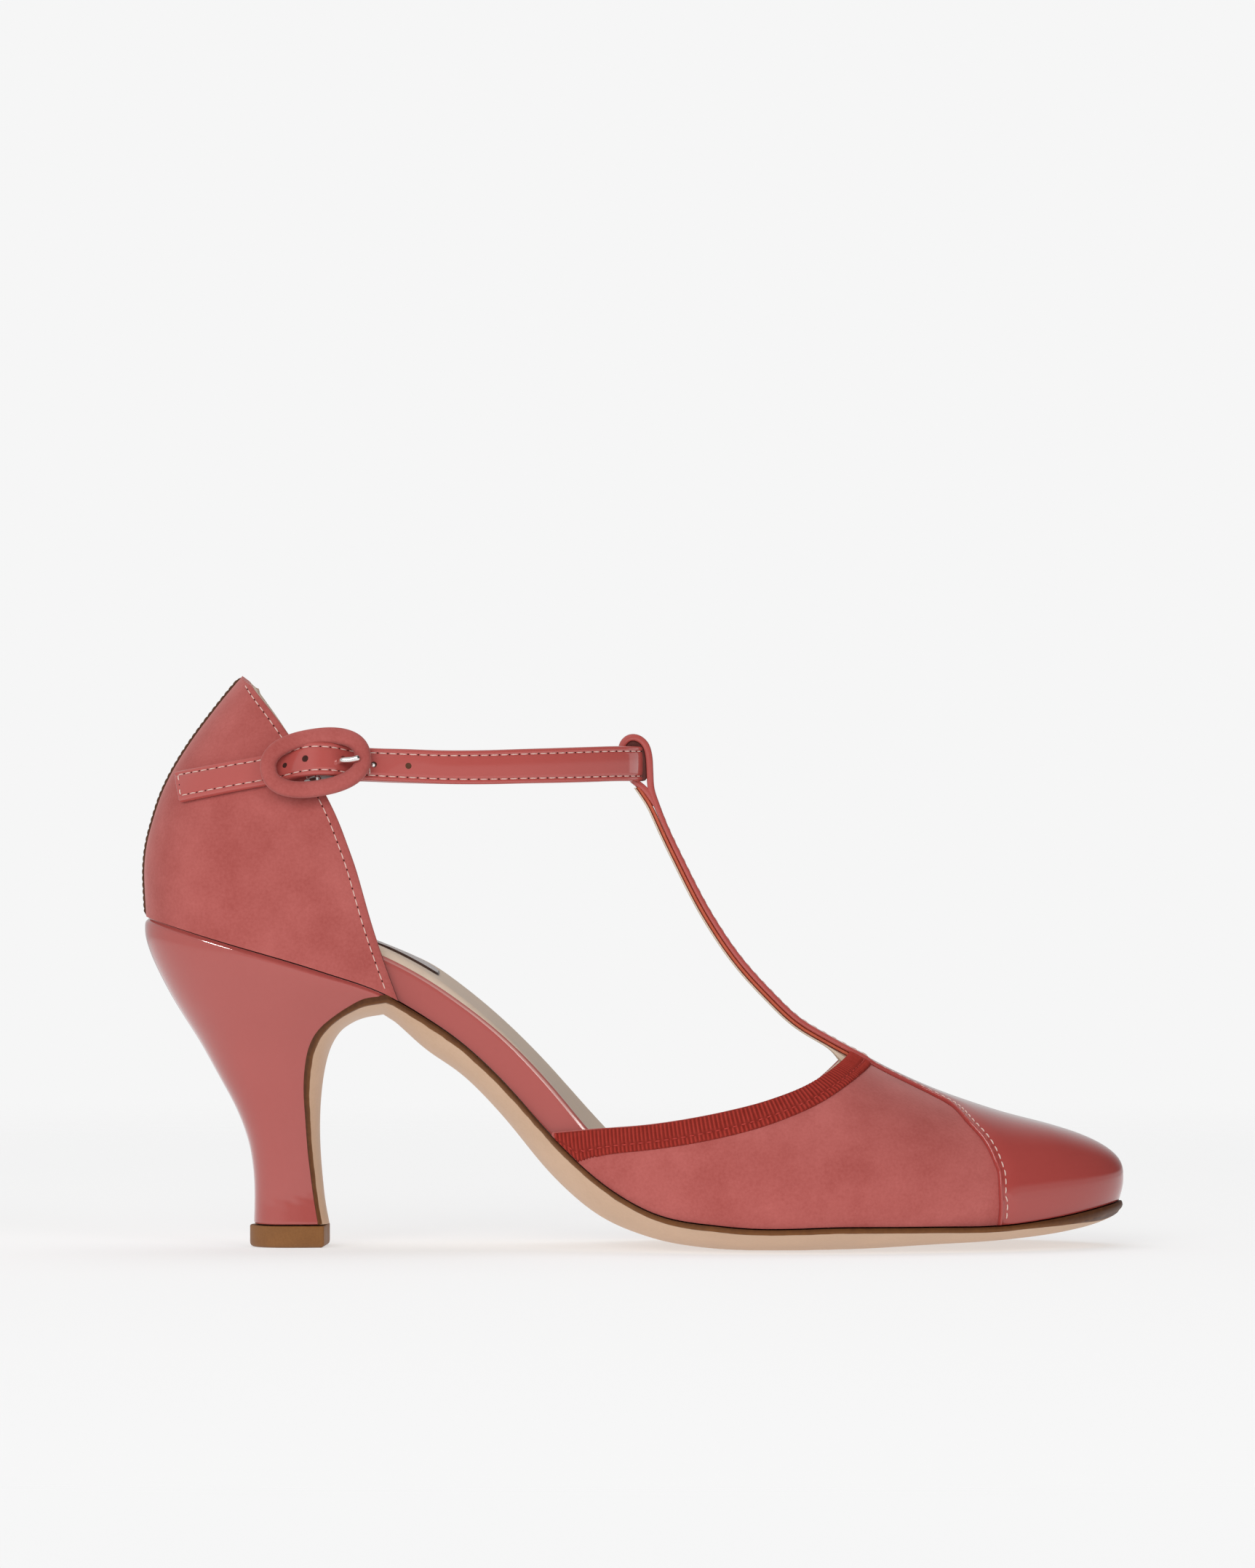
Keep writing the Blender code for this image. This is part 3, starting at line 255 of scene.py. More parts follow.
def upperPoint(along, side, level, lift=0.0):
    # point of the forepart: level 0 at the bed, 1 at the widest line, 2 at the ridge, lift is outwards;
    # sections are quarter superellipses on a swelling wall, fanned round the toe from one focus
    along, side, level, lift = np.broadcast_arrays(along, side, level, lift)
    edge, normalX, normalY = edgeAt(along, side)
    out = lastForm["vampOut"] + lift
    footX, footY = along + normalX * out, edge + normalY * out
    low = bedZ(footX) + bedArch(footX) * (1 + side) / 2 + halfGap
    clear = np.maximum(toplineAt(along, side) - low, 0.05)
    openHeight = np.where(along < throatX, clear, 300.0)  # past the throat nothing limits the swell
    rise = np.maximum(softMin(swellUp(along), lastForm["wingShare"] * openHeight, 0.3), 0.02)
    under = np.clip(level, 0, 1)
    over = np.clip(level - 1, 0, 1) * np.pi / 2
    power = 2 / squareness(along)
    inward = np.clip(np.cos(over), 0, 1) ** power
    upward = np.sin(over) ** power
    bulge = swellOut(along) * rise / swellUp(along) * np.sin(under * np.pi / 2)
    spine = np.minimum(along, lastForm["focusX"])
    x = spine + (footX + normalX * bulge - spine) * inward
    y = ridgeY + (footY + normalY * bulge - ridgeY) * inward
    z = np.where(level <= 1, low + rise * under, low + rise + (ridgeZ(x) + lift - low - rise) * upward)
    return np.stack([x, y, z], -1)


def levelAtHeight(along, side, height, lift=0.0):
    # level at which the section reaches a height, by halving
    low, high = np.zeros_like(along), np.full_like(along, 2.0)
    for _ in range(36):
        middle = (low + high) / 2
        under = upperPoint(along, side, middle, lift)[..., 2] < height
        low, high = np.where(under, middle, low), np.where(under, high, middle)
    return (low + high) / 2


def upperSlopes(along, side, level, lift=0.0):
    # change of the surface point per millimetre along and per level, by small differences
    step, rise = 0.02, 0.001
    byAlong = upperPoint(along + step, side, level, lift) - upperPoint(along - step, side, level, lift)
    byLevel = upperPoint(along, side, level, lift) - upperPoint(along, side, level - 2 * rise, lift)
    return byAlong / (2 * step), byLevel / (2 * rise)


def walkUpper(along, side, level, heading, distance, steps):
    # walk over the surface from each place along a fixed heading, projected on the surface at every step
    rows = [(along, level)]
    for _ in range(steps):
        byAlong, byLevel = upperSlopes(along, side, level)
        aa, al, ll = (byAlong**2).sum(-1), (byAlong * byLevel).sum(-1), (byLevel**2).sum(-1)
        ra, rl = (byAlong * heading).sum(-1), (byLevel * heading).sum(-1)
        det = np.maximum(aa * ll - al**2, 1e-9)
        along = along + (ra * ll - rl * al) / det * distance / steps
        level = np.clip(level + (rl * aa - ra * al) / det * distance / steps, 0.0, 1.999)
        rows.append((along, level))
    return rows


def gridNormals(points):
    # cross product of the two directions of a grid
    return unit(np.cross(np.gradient(points, axis=0), np.gradient(points, axis=1)))


def rimRows(first, second, away, steps, depth=1.0):
    # half round between two edge rows, bulging along away
    turn = np.linspace(0, np.pi, steps + 2)[1:-1, None, None]
    middle, half = (first + second) / 2, (first - second) / 2
    size = np.linalg.norm(half, axis=-1, keepdims=True)
    return middle + half * np.cos(turn) + away * size * depth * np.sin(turn)


def capBetween(first, second):
    # strip of faces between two rows of points
    return np.stack([first, second])


def endCaps(top, under):
    # strips that join the first and the last rows of two grids
    return [(capBetween(top[i], under[i]), 0) for i in (0, -1)]


def sideCaps(top, under):
    # strips that join the first and the last columns of two grids
    return [(capBetween(top[:, i], under[:, i]), 0) for i in (0, -1)]


def slabBlocks(top, under, **marks):
    # two grids closed all round, with attributes on the first
    return [(top, 0, marks), (under, 0)] + endCaps(top, under) + sideCaps(top, under)


# distances in millimetres for merging points, degrees for a sharp edge, sides of the largest hole that is closed
meshForm = {"weld": 0.004, "stitchWeld": 0.002, "collapse": 0.2, "sharp": 50, "holeSides": 24}


def addPiece(name, blocks, materials, stands=(), weld=meshForm["weld"], sharp=meshForm["sharp"]):
    # one mesh from grids of points, (grid, material number, attributes), welded where they meet
    mesh = bpy.data.meshes.new(name)
    allPoints, allFaces, allIndex, attributes, base = [], [], [], {}, 0
    total = sum(block[0].shape[0] * block[0].shape[1] for block in blocks)
    for block in blocks:
        grid = block[0]
        rows, cols = grid.shape[:2]
        ids = np.arange(rows * cols).reshape(rows, cols) + base
        quads = np.stack([ids[:-1, :-1], ids[:-1, 1:], ids[1:, 1:], ids[1:, :-1]], -1)
        quads = quads.reshape(-1, 4)
        allPoints.append(grid.reshape(-1, 3))
        allFaces.append(quads)
        allIndex.append(np.full(len(quads), block[1]))
        for key, values in (block[2] if len(block) > 2 else {}).items():
            store = attributes.setdefault(key, np.zeros(total))
            store[base:base + rows * cols] = np.broadcast_to(values, (rows, cols)).ravel()
        base += rows * cols
    points = (np.concatenate(allPoints) - (lastForm["length"] / 2, 0, 0)) * mm
    mesh.from_pydata(points.tolist(), [], np.concatenate(allFaces).tolist())
    mesh.polygons.foreach_set("material_index", np.concatenate(allIndex).astype(np.int32))
    for key, values in attributes.items():
        layer = mesh.attributes.new(key, "FLOAT", "POINT")
        layer.data.foreach_set("value", values.astype(np.float32))
    work = bmesh.new()
    work.from_mesh(mesh)
    bmesh.ops.remove_doubles(work, verts=work.verts, dist=weld * mm)
    bmesh.ops.dissolve_degenerate(work, edges=work.edges, dist=weld * mm * meshForm["collapse"])
    ring = [edge for edge in work.edges if len(edge.link_faces) == 1]
    bmesh.ops.holes_fill(work, edges=ring, sides=meshForm["holeSides"])  # the half round at the end of a rim
    bmesh.ops.recalc_face_normals(work, faces=work.faces)
    for face in work.faces:
        face.smooth = True
    work.to_mesh(mesh)
    mesh.set_sharp_from_angle(angle=math.radians(sharp))
    openEdges = sum(1 for edge in work.edges if len(edge.link_faces) != 2)
    work.free()
    placePiece(name, mesh, materials, stands, openEdges)


def addObject(name, data):
    # object in the scene, at the origin
    thing = bpy.data.objects.new(name, data)
    bpy.context.scene.collection.objects.link(thing)
    return thing


def placePiece(name, mesh, materials, stands, openEdges):
    # object for a mesh, with its materials, the parts it stands for and its body
    piece = addObject(name, mesh)
    for material in materials:
        mesh.materials.append(material)
    if stands:
        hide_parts(*stands)
    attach(piece, "root")
    print(f"  {name}: {len(mesh.polygons)} faces, {openEdges} open edges")


# materials


def setInputs(node, values):
    # values of a node's inputs by name or number
    for key, value in values.items():
        node.inputs[key].default_value = value


def addNode(tree, kind, values=None, **settings):
    # shader node with its settings and the values of its inputs
    node = tree.nodes.new("ShaderNode" + kind)
    for key, value in settings.items():
        setattr(node, key, value)
    setInputs(node, values or {})
    return node


def addEasedRange(tree, first, last, start=0.0, end=1.0):
    # map from one range to another by an eased step
    values = {"From Min": first, "From Max": last, "To Min": start, "To Max": end}
    return addNode(tree, "MapRange", values, interpolation_type="SMOOTHSTEP")


def newMaterial(name, shader):
    # material with its node tree and its surface shader
    material = bpy.data.materials.new(name)
    material.use_nodes = True
    surface = material.node_tree.nodes["Principled BSDF"]
    setInputs(surface, shader)
    return material, material.node_tree, surface


def joinNodes(tree, *rows):
    # links given as node, output, node, input
    for source, output, target, entry in rows:
        tree.links.new(source.outputs[output], target.inputs[entry])


def makeMottleGroup():
    # two tones mixed by a soft patch noise and a fine one; height is the fine noise
    group = bpy.data.node_groups.new("mottle", "ShaderNodeTree")
    sockets = [("Tone", "INPUT", "Color"), ("Second Tone", "INPUT", "Color"), ("Patch Scale", "INPUT", "Float"),
               ("Fine Scale", "INPUT", "Float"), ("Fine Share", "INPUT", "Float"), ("Bias", "INPUT", "Float"),
               ("Colour", "OUTPUT", "Color"), ("Height", "OUTPUT", "Float"), ("Patch", "OUTPUT", "Float")]
    for key, way, kind in sockets:
        group.interface.new_socket(key, in_out=way, socket_type="NodeSocket" + kind)
    start, end = group.nodes.new("NodeGroupInput"), group.nodes.new("NodeGroupOutput")
    place = addNode(group, "TexCoord")
    patch = addNode(group, "TexNoise", {"Detail": 4.0, "Roughness": 0.55})
    fine = addNode(group, "TexNoise", {"Detail": 3.0, "Roughness": 0.6})
    both = addNode(group, "Mix", data_type="FLOAT")
    shift = addNode(group, "Math", operation="ADD")
    steep = addNode(group, "MapRange", {"From Min": 0.82, "From Max": 1.18}, clamp=True)
    tones = addNode(group, "Mix", data_type="RGBA")
    joinNodes(group, (place, "Object", patch, "Vector"), (place, "Object", fine, "Vector"),
              (start, "Patch Scale", patch, "Scale"), (start, "Fine Scale", fine, "Scale"),
              (start, "Fine Share", both, 0), (patch, "Fac", both, 2), (fine, "Fac", both, 3),
              (both, 0, shift, 0), (start, "Bias", shift, 1), (shift, 0, steep, "Value"),
              (steep, "Result", tones, 0), (start, "Tone", tones, 6), (start, "Second Tone", tones, 7),
              (tones, 2, end, "Colour"),
              (fine, "Fac", end, "Height"), (patch, "Fac", end, "Patch"))
    return group


mottle = makeMottleGroup()


def makeFinish(name, tone, second, grain, shader):
    # mottled colour, fine bump and roughness that follows the patches, on one surface shader
    patchScale, fineScale, fineShare, bump, bumpDepth, roughSpread = grain
    material, tree, surface = newMaterial(name, shader)
    tones = addNode(tree, "Group", node_tree=mottle)
    setInputs(tones, {"Tone": (*tone, 1), "Second Tone": (*second, 1), "Patch Scale": patchScale,
                      "Fine Scale": fineScale, "Fine Share": fineShare, "Bias": 0.5})
    relief = addNode(tree, "Bump", {"Strength": bump, "Distance": bumpDepth * mm})
    rough = addNode(tree, "MapRange", {
        "From Min": 0.3, "From Max": 0.7,
        "To Min": shader["Roughness"] - roughSpread, "To Max": shader["Roughness"] + roughSpread})
    joinNodes(tree, (tones, "Colour", surface, "Base Color"), (tones, "Height", relief, "Height"),
              (relief, "Normal", surface, "Normal"), (tones, "Patch", rough, "Value"),
              (rough, "Result", surface, "Roughness"))
    return material


patentGrain, threadGrain = (40, 900, 0.25, 0.04, 0.02, 0.02), (900, 6000, 0.5, 0.5, 0.04, 0.0)
patentShine = {"Roughness": 0.10, "IOR": 1.5, "Coat Weight": 0.3, "Coat Roughness": 0.03}
finishes = {
    # two tones; grain as patch scale, fine scale, fine share, bump, its depth, spread of roughness; shader
    "suede": ((0.370, 0.080, 0.070), (0.490, 0.132, 0.119), (80, 1500, 0.35, 0.55, 0.12, 0.03),
              {"Roughness": 0.92, "Specular IOR Level": 0.15, "Sheen Weight": 0.25, "Sheen Roughness": 0.45,
               "Sheen Tint": (1.0, 0.75, 0.72, 1)}),
    "patent": ((0.450, 0.086, 0.074), (0.475, 0.094, 0.082), patentGrain, patentShine),
    "heelPatent": ((0.405, 0.086, 0.075), (0.425, 0.093, 0.082), patentGrain, patentShine),
    "capPatent": ((0.385, 0.060, 0.051), (0.405, 0.066, 0.057), patentGrain, patentShine),
    "ribbon": ((0.305, 0.029, 0.020), (0.385, 0.046, 0.034), (500, 5000, 0.5, 0.5, 0.06, 0.05),
               {"Roughness": 0.8, "Specular IOR Level": 0.1}),
    "lining": ((0.64, 0.505, 0.395), (0.72, 0.585, 0.465), (120, 1800, 0.4, 0.25, 0.06, 0.05),
               {"Roughness": 0.5, "Specular IOR Level": 0.4}),
    "pinkThread": ((0.70, 0.46, 0.40), (0.80, 0.58, 0.52), threadGrain, {"Roughness": 0.6, "Sheen Weight": 0.2}),
    "redThread": ((0.38, 0.026, 0.018), (0.46, 0.045, 0.032), threadGrain, {"Roughness": 0.65}),
    "brownThread": ((0.075, 0.032, 0.018), (0.125, 0.058, 0.034), threadGrain,
                    {"Roughness": 0.8, "Specular IOR Level": 0.1}),
    "dyedEdge": ((0.46, 0.075, 0.034), (0.56, 0.12, 0.06), (500, 4000, 0.4, 0.4, 0.05, 0.0), {"Roughness": 0.55}),
    "rubber": ((0.205, 0.082, 0.022), (0.265, 0.115, 0.036), (300, 2500, 0.5, 0.3, 0.05, 0.06),
               {"Roughness": 0.55, "Specular IOR Level": 0.4}),
    "steel": ((0.80, 0.79, 0.77), (0.90, 0.89, 0.87), (300, 3000, 0.4, 0.05, 0.01, 0.04),
              {"Roughness": 0.16, "Metallic": 1.0}),
    "dullSteel": ((0.74, 0.72, 0.69), (0.84, 0.82, 0.79), (300, 3000, 0.4, 0.05, 0.01, 0.05),
                  {"Roughness": 0.42, "Metallic": 1.0}),
    # painted shade: near black that stands for the shade inside holes, needle holes and the buckle's slot
    "paintedHoleShade": ((0.040, 0.015, 0.012), (0.075, 0.03, 0.025), (900, 5000, 0.4, 0.3, 0.03, 0.0),
                 {"Roughness": 0.8, "Specular IOR Level": 0.1}),
    "label": ((0.52, 0.49, 0.48), (0.60, 0.57, 0.56), (200, 2500, 0.4, 0.1, 0.02, 0.0),
              {"Roughness": 0.5, "Specular IOR Level": 0.3}),
    # painted shade: near black for the counter's shadow at its front edge and the shade inside the T strap's loop
    "paintedShadeDark": ((0.075, 0.018, 0.014), (0.12, 0.032, 0.026), (400, 3000, 0.4, 0.2, 0.02, 0.0),
                  {"Roughness": 0.7}),
    "labelEdge": ((0.045, 0.022, 0.016), (0.08, 0.04, 0.03), (400, 3000, 0.4, 0.2, 0.02, 0.0),
                  {"Roughness": 0.35}),
}
finish = {name: makeFinish(name, *row) for name, row in finishes.items()}


def finishNodes(material):
    # node tree of a finish, its surface shader and its mottle
    tree = material.node_tree
    return tree, tree.nodes["Principled BSDF"], next(node for node in tree.nodes if node.type == "GROUP")


# tan leather, its stained edge dark above and paler below; lengths from the edge in millimetres
soleLook = {
    "tan": (0.60, 0.40, 0.265), "tanPale": (0.68, 0.475, 0.335),
    "edgeTop": (0.060, 0.019, 0.008), "edgeLow": (0.235, 0.092, 0.027), "edgeHeight": 1.3, "edgeEnd": 0.3,
    "limit": 0.30, "soft": 0.16, "waver": 0.9, "waverScale": 260.0, "fleck": 0.35, "fleckScale": 900.0,
    "grain": (90, 1500, 0.35, 0.18, 0.05, 0.07), "shader": {"Roughness": 0.45, "Specular IOR Level": 0.22},
}


def makeSoleFinish():
    # tan turns to the stain where the fromEdge attribute, roughened by noise, falls below a limit
    look = soleLook
    material = makeFinish("soleLeather", look["tan"], look["tanPale"], look["grain"], look["shader"])
    tree, surface, tones = finishNodes(material)
    mark = addNode(tree, "Attribute", attribute_name="fromEdge")
    place = addNode(tree, "TexCoord")
    wander = addNode(tree, "TexNoise", {"Scale": look["waverScale"], "Detail": 3.0})
    streak = addNode(tree, "TexNoise", {"Scale": look["fleckScale"], "Detail": 2.0})
    waver = addNode(tree, "Math", {1: look["waver"], 2: -look["waver"] / 2}, operation="MULTIPLY_ADD")
    total = addNode(tree, "Math", operation="ADD")
    mask = addEasedRange(tree, look["limit"] - look["soft"], look["limit"] + look["soft"])
    rise = addNode(tree, "MapRange", {"From Min": -look["edgeHeight"], "From Max": look["edgeEnd"]})
    stain = addNode(tree, "Mix", {6: (*look["edgeTop"], 1), 7: (*look["edgeLow"], 1)}, data_type="RGBA")
    fleck = addNode(tree, "Mix", {0: look["fleck"]}, data_type="FLOAT")
    final = addNode(tree, "Mix", data_type="RGBA")
    joinNodes(tree, (place, "Object", wander, "Vector"), (place, "Object", streak, "Vector"),
              (wander, "Fac", waver, 0), (mark, "Fac", total, 0), (waver, 0, total, 1), (total, 0, mask, "Value"),
              (total, 0, rise, "Value"), (rise, "Result", fleck, 2), (streak, "Fac", fleck, 3),
              (fleck, 0, stain, 0), (mask, "Result", final, 0), (stain, 2, final, 6), (tones, "Colour", final, 7),
              (final, 2, surface, "Base Color"))
    return material


def shadeRibs(material, inGroove=0.56, onTop=1.14):
    # painted shade: scales the ribbon's colour from dark in the grooves to light on the tops of its ribs by the
    # rib attribute
    tree, surface, tones = finishNodes(material)
    mark = addNode(tree, "Attribute", attribute_name="rib")
    level = addNode(tree, "MapRange", {"To Min": inGroove, "To Max": onTop})
    product = addNode(tree, "VectorMath", operation="SCALE")
    joinNodes(tree, (mark, "Fac", level, "Value"), (tones, "Colour", product, 0),
              (level, "Result", product, "Scale"), (product, "Vector", surface, "Base Color"))


def paintFoldHighlight(material, pale=(0.88, 0.60, 0.55)):
    # painted highlight: the fold of the insole cover is paler by the fold attribute, for the light its crease
    # catches
    tree, surface, tones = finishNodes(material)
    mark = addNode(tree, "Attribute", attribute_name="fold")
    blend = addNode(tree, "Mix", {7: (*pale, 1)}, data_type="RGBA")
    joinNodes(tree, (mark, "Fac", blend, 0), (tones, "Colour", blend, 6), (blend, 2, surface, "Base Color"))


finish["sole"] = makeSoleFinish()
shadeRibs(finish["ribbon"])
paintFoldHighlight(finish["heelPatent"])
print("finishes:", len(finish))


# stitches: rings along a lump and points round it, how its ends narrow and how far its middle stands up
stitchForm = {"rings": 7, "around": 9, "narrow": 0.93, "hump": 0.55, "humpPower": 0.7,
              # hole: the dark lumps of painted needle-hole shade between the stitches
              "hole": {"gap": 0.42, "width": 0.32, "height": 0.10, "sink": -0.02}}


def stitchRun(path, normals, pitch=2.3, length=1.75, width=0.42, height=0.30, start=0.6, end=0.6, sink=0.05,
              gap=0.0):
    # thread lumps along a path: each follows the path for its length, humped and narrowed to both ends;
    # with a gap the lumps are instead that long and lie between the stitches
    path, normals = np.asarray(path), unit(np.asarray(normals))
    run = runLength(path)
    room = run[-1] - start - end - length
    count = max(int(room / pitch) + 1, 1)
    pitch = room / max(count - 1, 1)
    part = np.linspace(0, 1, stitchForm["rings"])
    first = start + pitch * np.arange(count)[:, None]
    if gap:
        first, length = first[:-1] + length + (pitch - length - gap) / 2, gap
    place = first + length * part
    middle, up = alongLine(place, run, path), unit(alongLine(place, run, normals))
    beside = unit(np.cross(up, unit(np.gradient(middle, axis=1))))
    taper = np.sqrt(1 - stitchForm["narrow"] * (2 * part - 1) ** 4)[:, None]
    hump = height * stitchForm["hump"] * np.sin(np.pi * part) ** stitchForm["humpPower"] - sink
    turn = fullTurn(stitchForm["around"])
    wide, tall = width / 2 * np.cos(turn) * taper, height / 2 * np.sin(turn) * taper + hump[:, None]
    ring = middle[:, :, None] + beside[:, :, None] * wide[None, :, :, None]
    ring = ring + up[:, :, None] * tall[None, :, :, None]
    flat = np.repeat(ring[:, [0, -1]].mean(2, keepdims=True), len(turn), axis=2)
    return np.concatenate([flat[:, :1], ring, flat[:, 1:]], axis=1)


def stitchPair(path, normals, **form):
    # stitches and the painted shade of the needle holes between them, as dark lumps
    return stitchRun(path, normals, **form), stitchRun(path, normals, **{**form, **stitchForm["hole"]})


def addStitches(name, runs, material):
    # one piece from all the lumps of several runs
    addPiece(name, [(grid, 0) for run in runs for grid in run], [material], weld=meshForm["stitchWeld"])


def addStitchPairs(name, pairs):
    # pink stitches and the painted shade of their needle holes as two pieces
    threads, holes = zip(*pairs)
    addStitches(name + "Stitches", threads, finish["pinkThread"])
    addStitches(name + "NeedleHoles", holes, finish["paintedHoleShade"])


# vamp: suede forepart, open at the throat and underneath, lined
vampForm = {"wall": 1.6, "wingColumns": 130, "frontColumns": 120, "rows": 60, "rimSteps": 5, "rimDepth": 0.5,
            "suedeRim": 2, "tailX": (94.0, 125.0), "tailLeast": 0.5, "throatAway": (-0.9, 0.0, 0.44)}


def wingStart(side):
    # place near the back where the topline first stands clear of the bed
    along = np.linspace(*vampForm["tailX"], 400)
    clear = toplineAt(along, side) - upperPoint(along, side, 0.0)[:, 2]
    return along[np.argmax(clear > vampForm["tailLeast"])]


def sideColumns(side):
    # places from the tail to the throat with the level of the edge there, and places on to the toe tip;
    # both gather at their front ends by a sine
    first = wingStart(side)
    wing = first + (throatX - first) * np.sin(np.linspace(0, np.pi / 2, vampForm["wingColumns"] + 1))
    top = levelAtHeight(wing, np.full_like(wing, side), toplineAt(wing, side))
    top[-1] = 2.0
    front = np.sin(np.linspace(0, np.pi / 2, vampForm["frontColumns"] + 1))[1:]
    return wing, top, throatX + (tipX - throatX) * front


def buildVamp():
    # outer wing, round the toe and back along the inner wing, each column climbing from the bed to the edge;
    # the lining is the same surface moved in by the wall, and a half round closes the topline
    wing, top, front = sideColumns(outer)
    wingIn, topIn, _ = sideColumns(inner)
    along = np.concatenate([wing, front, front[-2::-1], wingIn[::-1]])
    side = np.repeat([outer, inner], [len(wing) + len(front), len(front) - 1 + len(wingIn)])
    level = np.concatenate([top, np.full(2 * len(front) - 1, 2.0), topIn[::-1]])
    climb = np.linspace(0, 1, vampForm["rows"])[:, None] * level
    skin, lining = (upperPoint(along, side, climb, lift) for lift in (0.0, -vampForm["wall"]))
    blocks = [(skin, 0), (lining, 1), (capBetween(skin[0], lining[0]), 1)] + sideCaps(skin, lining)
    away = unit(skin[-1] - skin[-4])
    count, split = len(wing), vampForm["suedeRim"]
    away[count - 1] = away[-count] = unit(np.array(vampForm["throatAway"]))
    for part in (slice(0, count), slice(len(along) - count, len(along))):
        rim = rimRows(skin[-1, part], lining[-1, part], away[part], vampForm["rimSteps"], vampForm["rimDepth"])
        edge = np.concatenate([skin[-1:, part], rim, lining[-1:, part]])
        blocks += [(edge[:split + 1], 0), (edge[split:], 1)]
    addPiece("vampSuede", blocks, [finish["suede"], finish["lining"]], ["vamp"])


buildVamp()
print("vamp done")

# toe cap: patent, its folded edge lies on the vamp and its strip runs up the ridge to the throat
capForm = {
    # x and z of the edge seen from the side, then x and half width of the strip on the ridge
    "sideEdge": [(198.9, 6.4), (199.2, 10.0), (199.1, 13.8), (198.0, 20.5), (195.6, 25.5), (192.2, 29.4)],
    "strip": [(187.6, 14.2), (182.5, 9.6), (177.6, 7.4), (172.4, 6.3), (165.5, 6.2)],
    "edgeRows": 190, "farColumns": 44, "turnShare": 0.40, "under": 0.06, "edgeLift": 0.2, "lineLift": 0.8,
    "edgeBlur": 0.8, "stitchIn": 1.75,
    "stitch": {"start": 0.4, "end": 0.2, "pitch": 2.0, "length": 1.5, "width": 0.32},
    # distance from the edge and height over the vamp
    "profile": [(0.0, 0.12), (0.05, 0.48), (0.12, 0.76), (0.22, 0.96), (0.35, 1.07), (0.50, 1.09), (0.66, 1.03),
                (0.84, 0.93), (1.05, 0.86), (1.30, 0.83), (1.55, 0.83), (1.75, 0.84), (2.1, 0.90), (2.7, 1.02),
                (3.6, 1.14), (5.0, 1.22)],
}


def findOnUpper(side, targets, axis, lift):
    # along and level whose point has the wanted x and the wanted y or z, by Newton steps of limited size
    along = targets[:, 0].copy()
    sideRow = np.full_like(along, side)
    level = levelAtHeight(along, sideRow, targets[:, 1], lift) if axis == 2 else np.full_like(along, 1.8)
    level = np.clip(level, 0.02, 1.97)
    for _ in range(60):
        error = upperPoint(along, sideRow, level, lift)[:, [0, axis]] - targets
        byAlong, byLevel = (slope[:, [0, axis]] for slope in upperSlopes(along, sideRow, level, lift))
        det = byAlong[:, 0] * byLevel[:, 1] - byAlong[:, 1] * byLevel[:, 0]
        det = np.where(np.abs(det) < 1e-6, 1e-6, det)
        along -= np.clip((error[:, 0] * byLevel[:, 1] - error[:, 1] * byLevel[:, 0]) / det, -1.0, 1.0)
        level -= np.clip((error[:, 1] * byAlong[:, 0] - error[:, 0] * byAlong[:, 1]) / det, -0.05, 0.05)
        level = np.clip(level, 0.0, 1.995)
    return along, level


def capEdge(side):
    # cap edge as along and level on a smooth line from the sole up to the throat
    low = np.array(capForm["sideEdge"])
    strip = np.array(capForm["strip"])
    strip[:, 1] = ridgeY + side * strip[:, 1]
    lift, blur = capForm["edgeLift"], capForm["edgeBlur"]
    onSide, onStrip = findOnUpper(side, low, 2, lift), findOnUpper(side, strip, 1, lift)
    along, level = (np.concatenate(both) for both in zip(onSide, onStrip))
    level[0], along[-1] = 0.0, throatX
    run = runLength(upperPoint(along, side, level, lift))
    place = np.linspace(0, run[-1], capForm["edgeRows"])
    along = tableCurve(run, along, blur)(place)
    level = np.clip(tableCurve(run, level, blur)(place), 0, 1.995)
    along[-1], level[0] = throatX, 0.0
    return along, level


def capSide(side):
    # lines from the edge to the middle of the cap: over the toe front first, then along the ridge
    along, level = capEdge(side)
    share = np.linspace(0, 1, len(along))
    turnAt = capForm["turnShare"]
    farAlong = tipX - (tipX - throatX) * np.clip((share - turnAt) / (1 - turnAt), 0, 1)
    farLevel = 2 * np.clip(share / turnAt, 0, 1)

    def onLines(part):
        # along and level at shares of every line
        return tuple(near[:, None] + (far - near)[:, None] * part
                     for near, far in ((along, farAlong), (level, farLevel)))

    fine = np.linspace(0, 1, 120)
    lineAlong, lineLevel = onLines(fine)
    line = upperPoint(lineAlong, side, lineLevel, capForm["lineLift"])
    steps = np.cumsum(np.linalg.norm(np.diff(line, axis=1), axis=2), axis=1)
    run = np.concatenate([np.zeros((len(along), 1)), steps], 1)
    near = np.array(capForm["profile"])[:, 0]
    rest = near[-1] + (run[:, -1:] - near[-1]) * np.linspace(0, 1, capForm["farColumns"] + 1)[1:]
    distance = np.concatenate([np.broadcast_to(near, (len(along), len(near))), rest], 1)
    part = np.stack([np.interp(d, r, fine) for d, r in zip(distance, run)])
    part[:, -1] = 1.0
    return *onLines(part), distance


def buildToeCap():
    # two halves that meet on the ridge: the edge profile lifts the top, and the underside lies just over the vamp
    profile = np.array(capForm["profile"]).T
    index = int(np.argmin(np.abs(profile[0] - capForm["stitchIn"])))
    blocks, runs = [], []
    for side in bothSides:
        along, level, distance = capSide(side)
        top = upperPoint(along, side, level, np.interp(distance, *profile))
        under = upperPoint(along, side, level, capForm["under"])
        blocks += [(top, 0), (under, 0), (capBetween(top[:, 0], under[:, 0]), 0)] + endCaps(top, under)
        normal = gridNormals(top) * side
        normal *= np.sign((normal[20, index] * (0, side, 0.4)).sum())  # outwards
        runs.append(stitchRun(top[3:, index], normal[3:, index], **capForm["stitch"]))
    addPiece("toeCapPatent", blocks, [finish["capPatent"]], ["toe_cap"])
    addStitches("toeCapStitches", runs, finish["pinkThread"])


buildToeCap()
print("toe cap done")

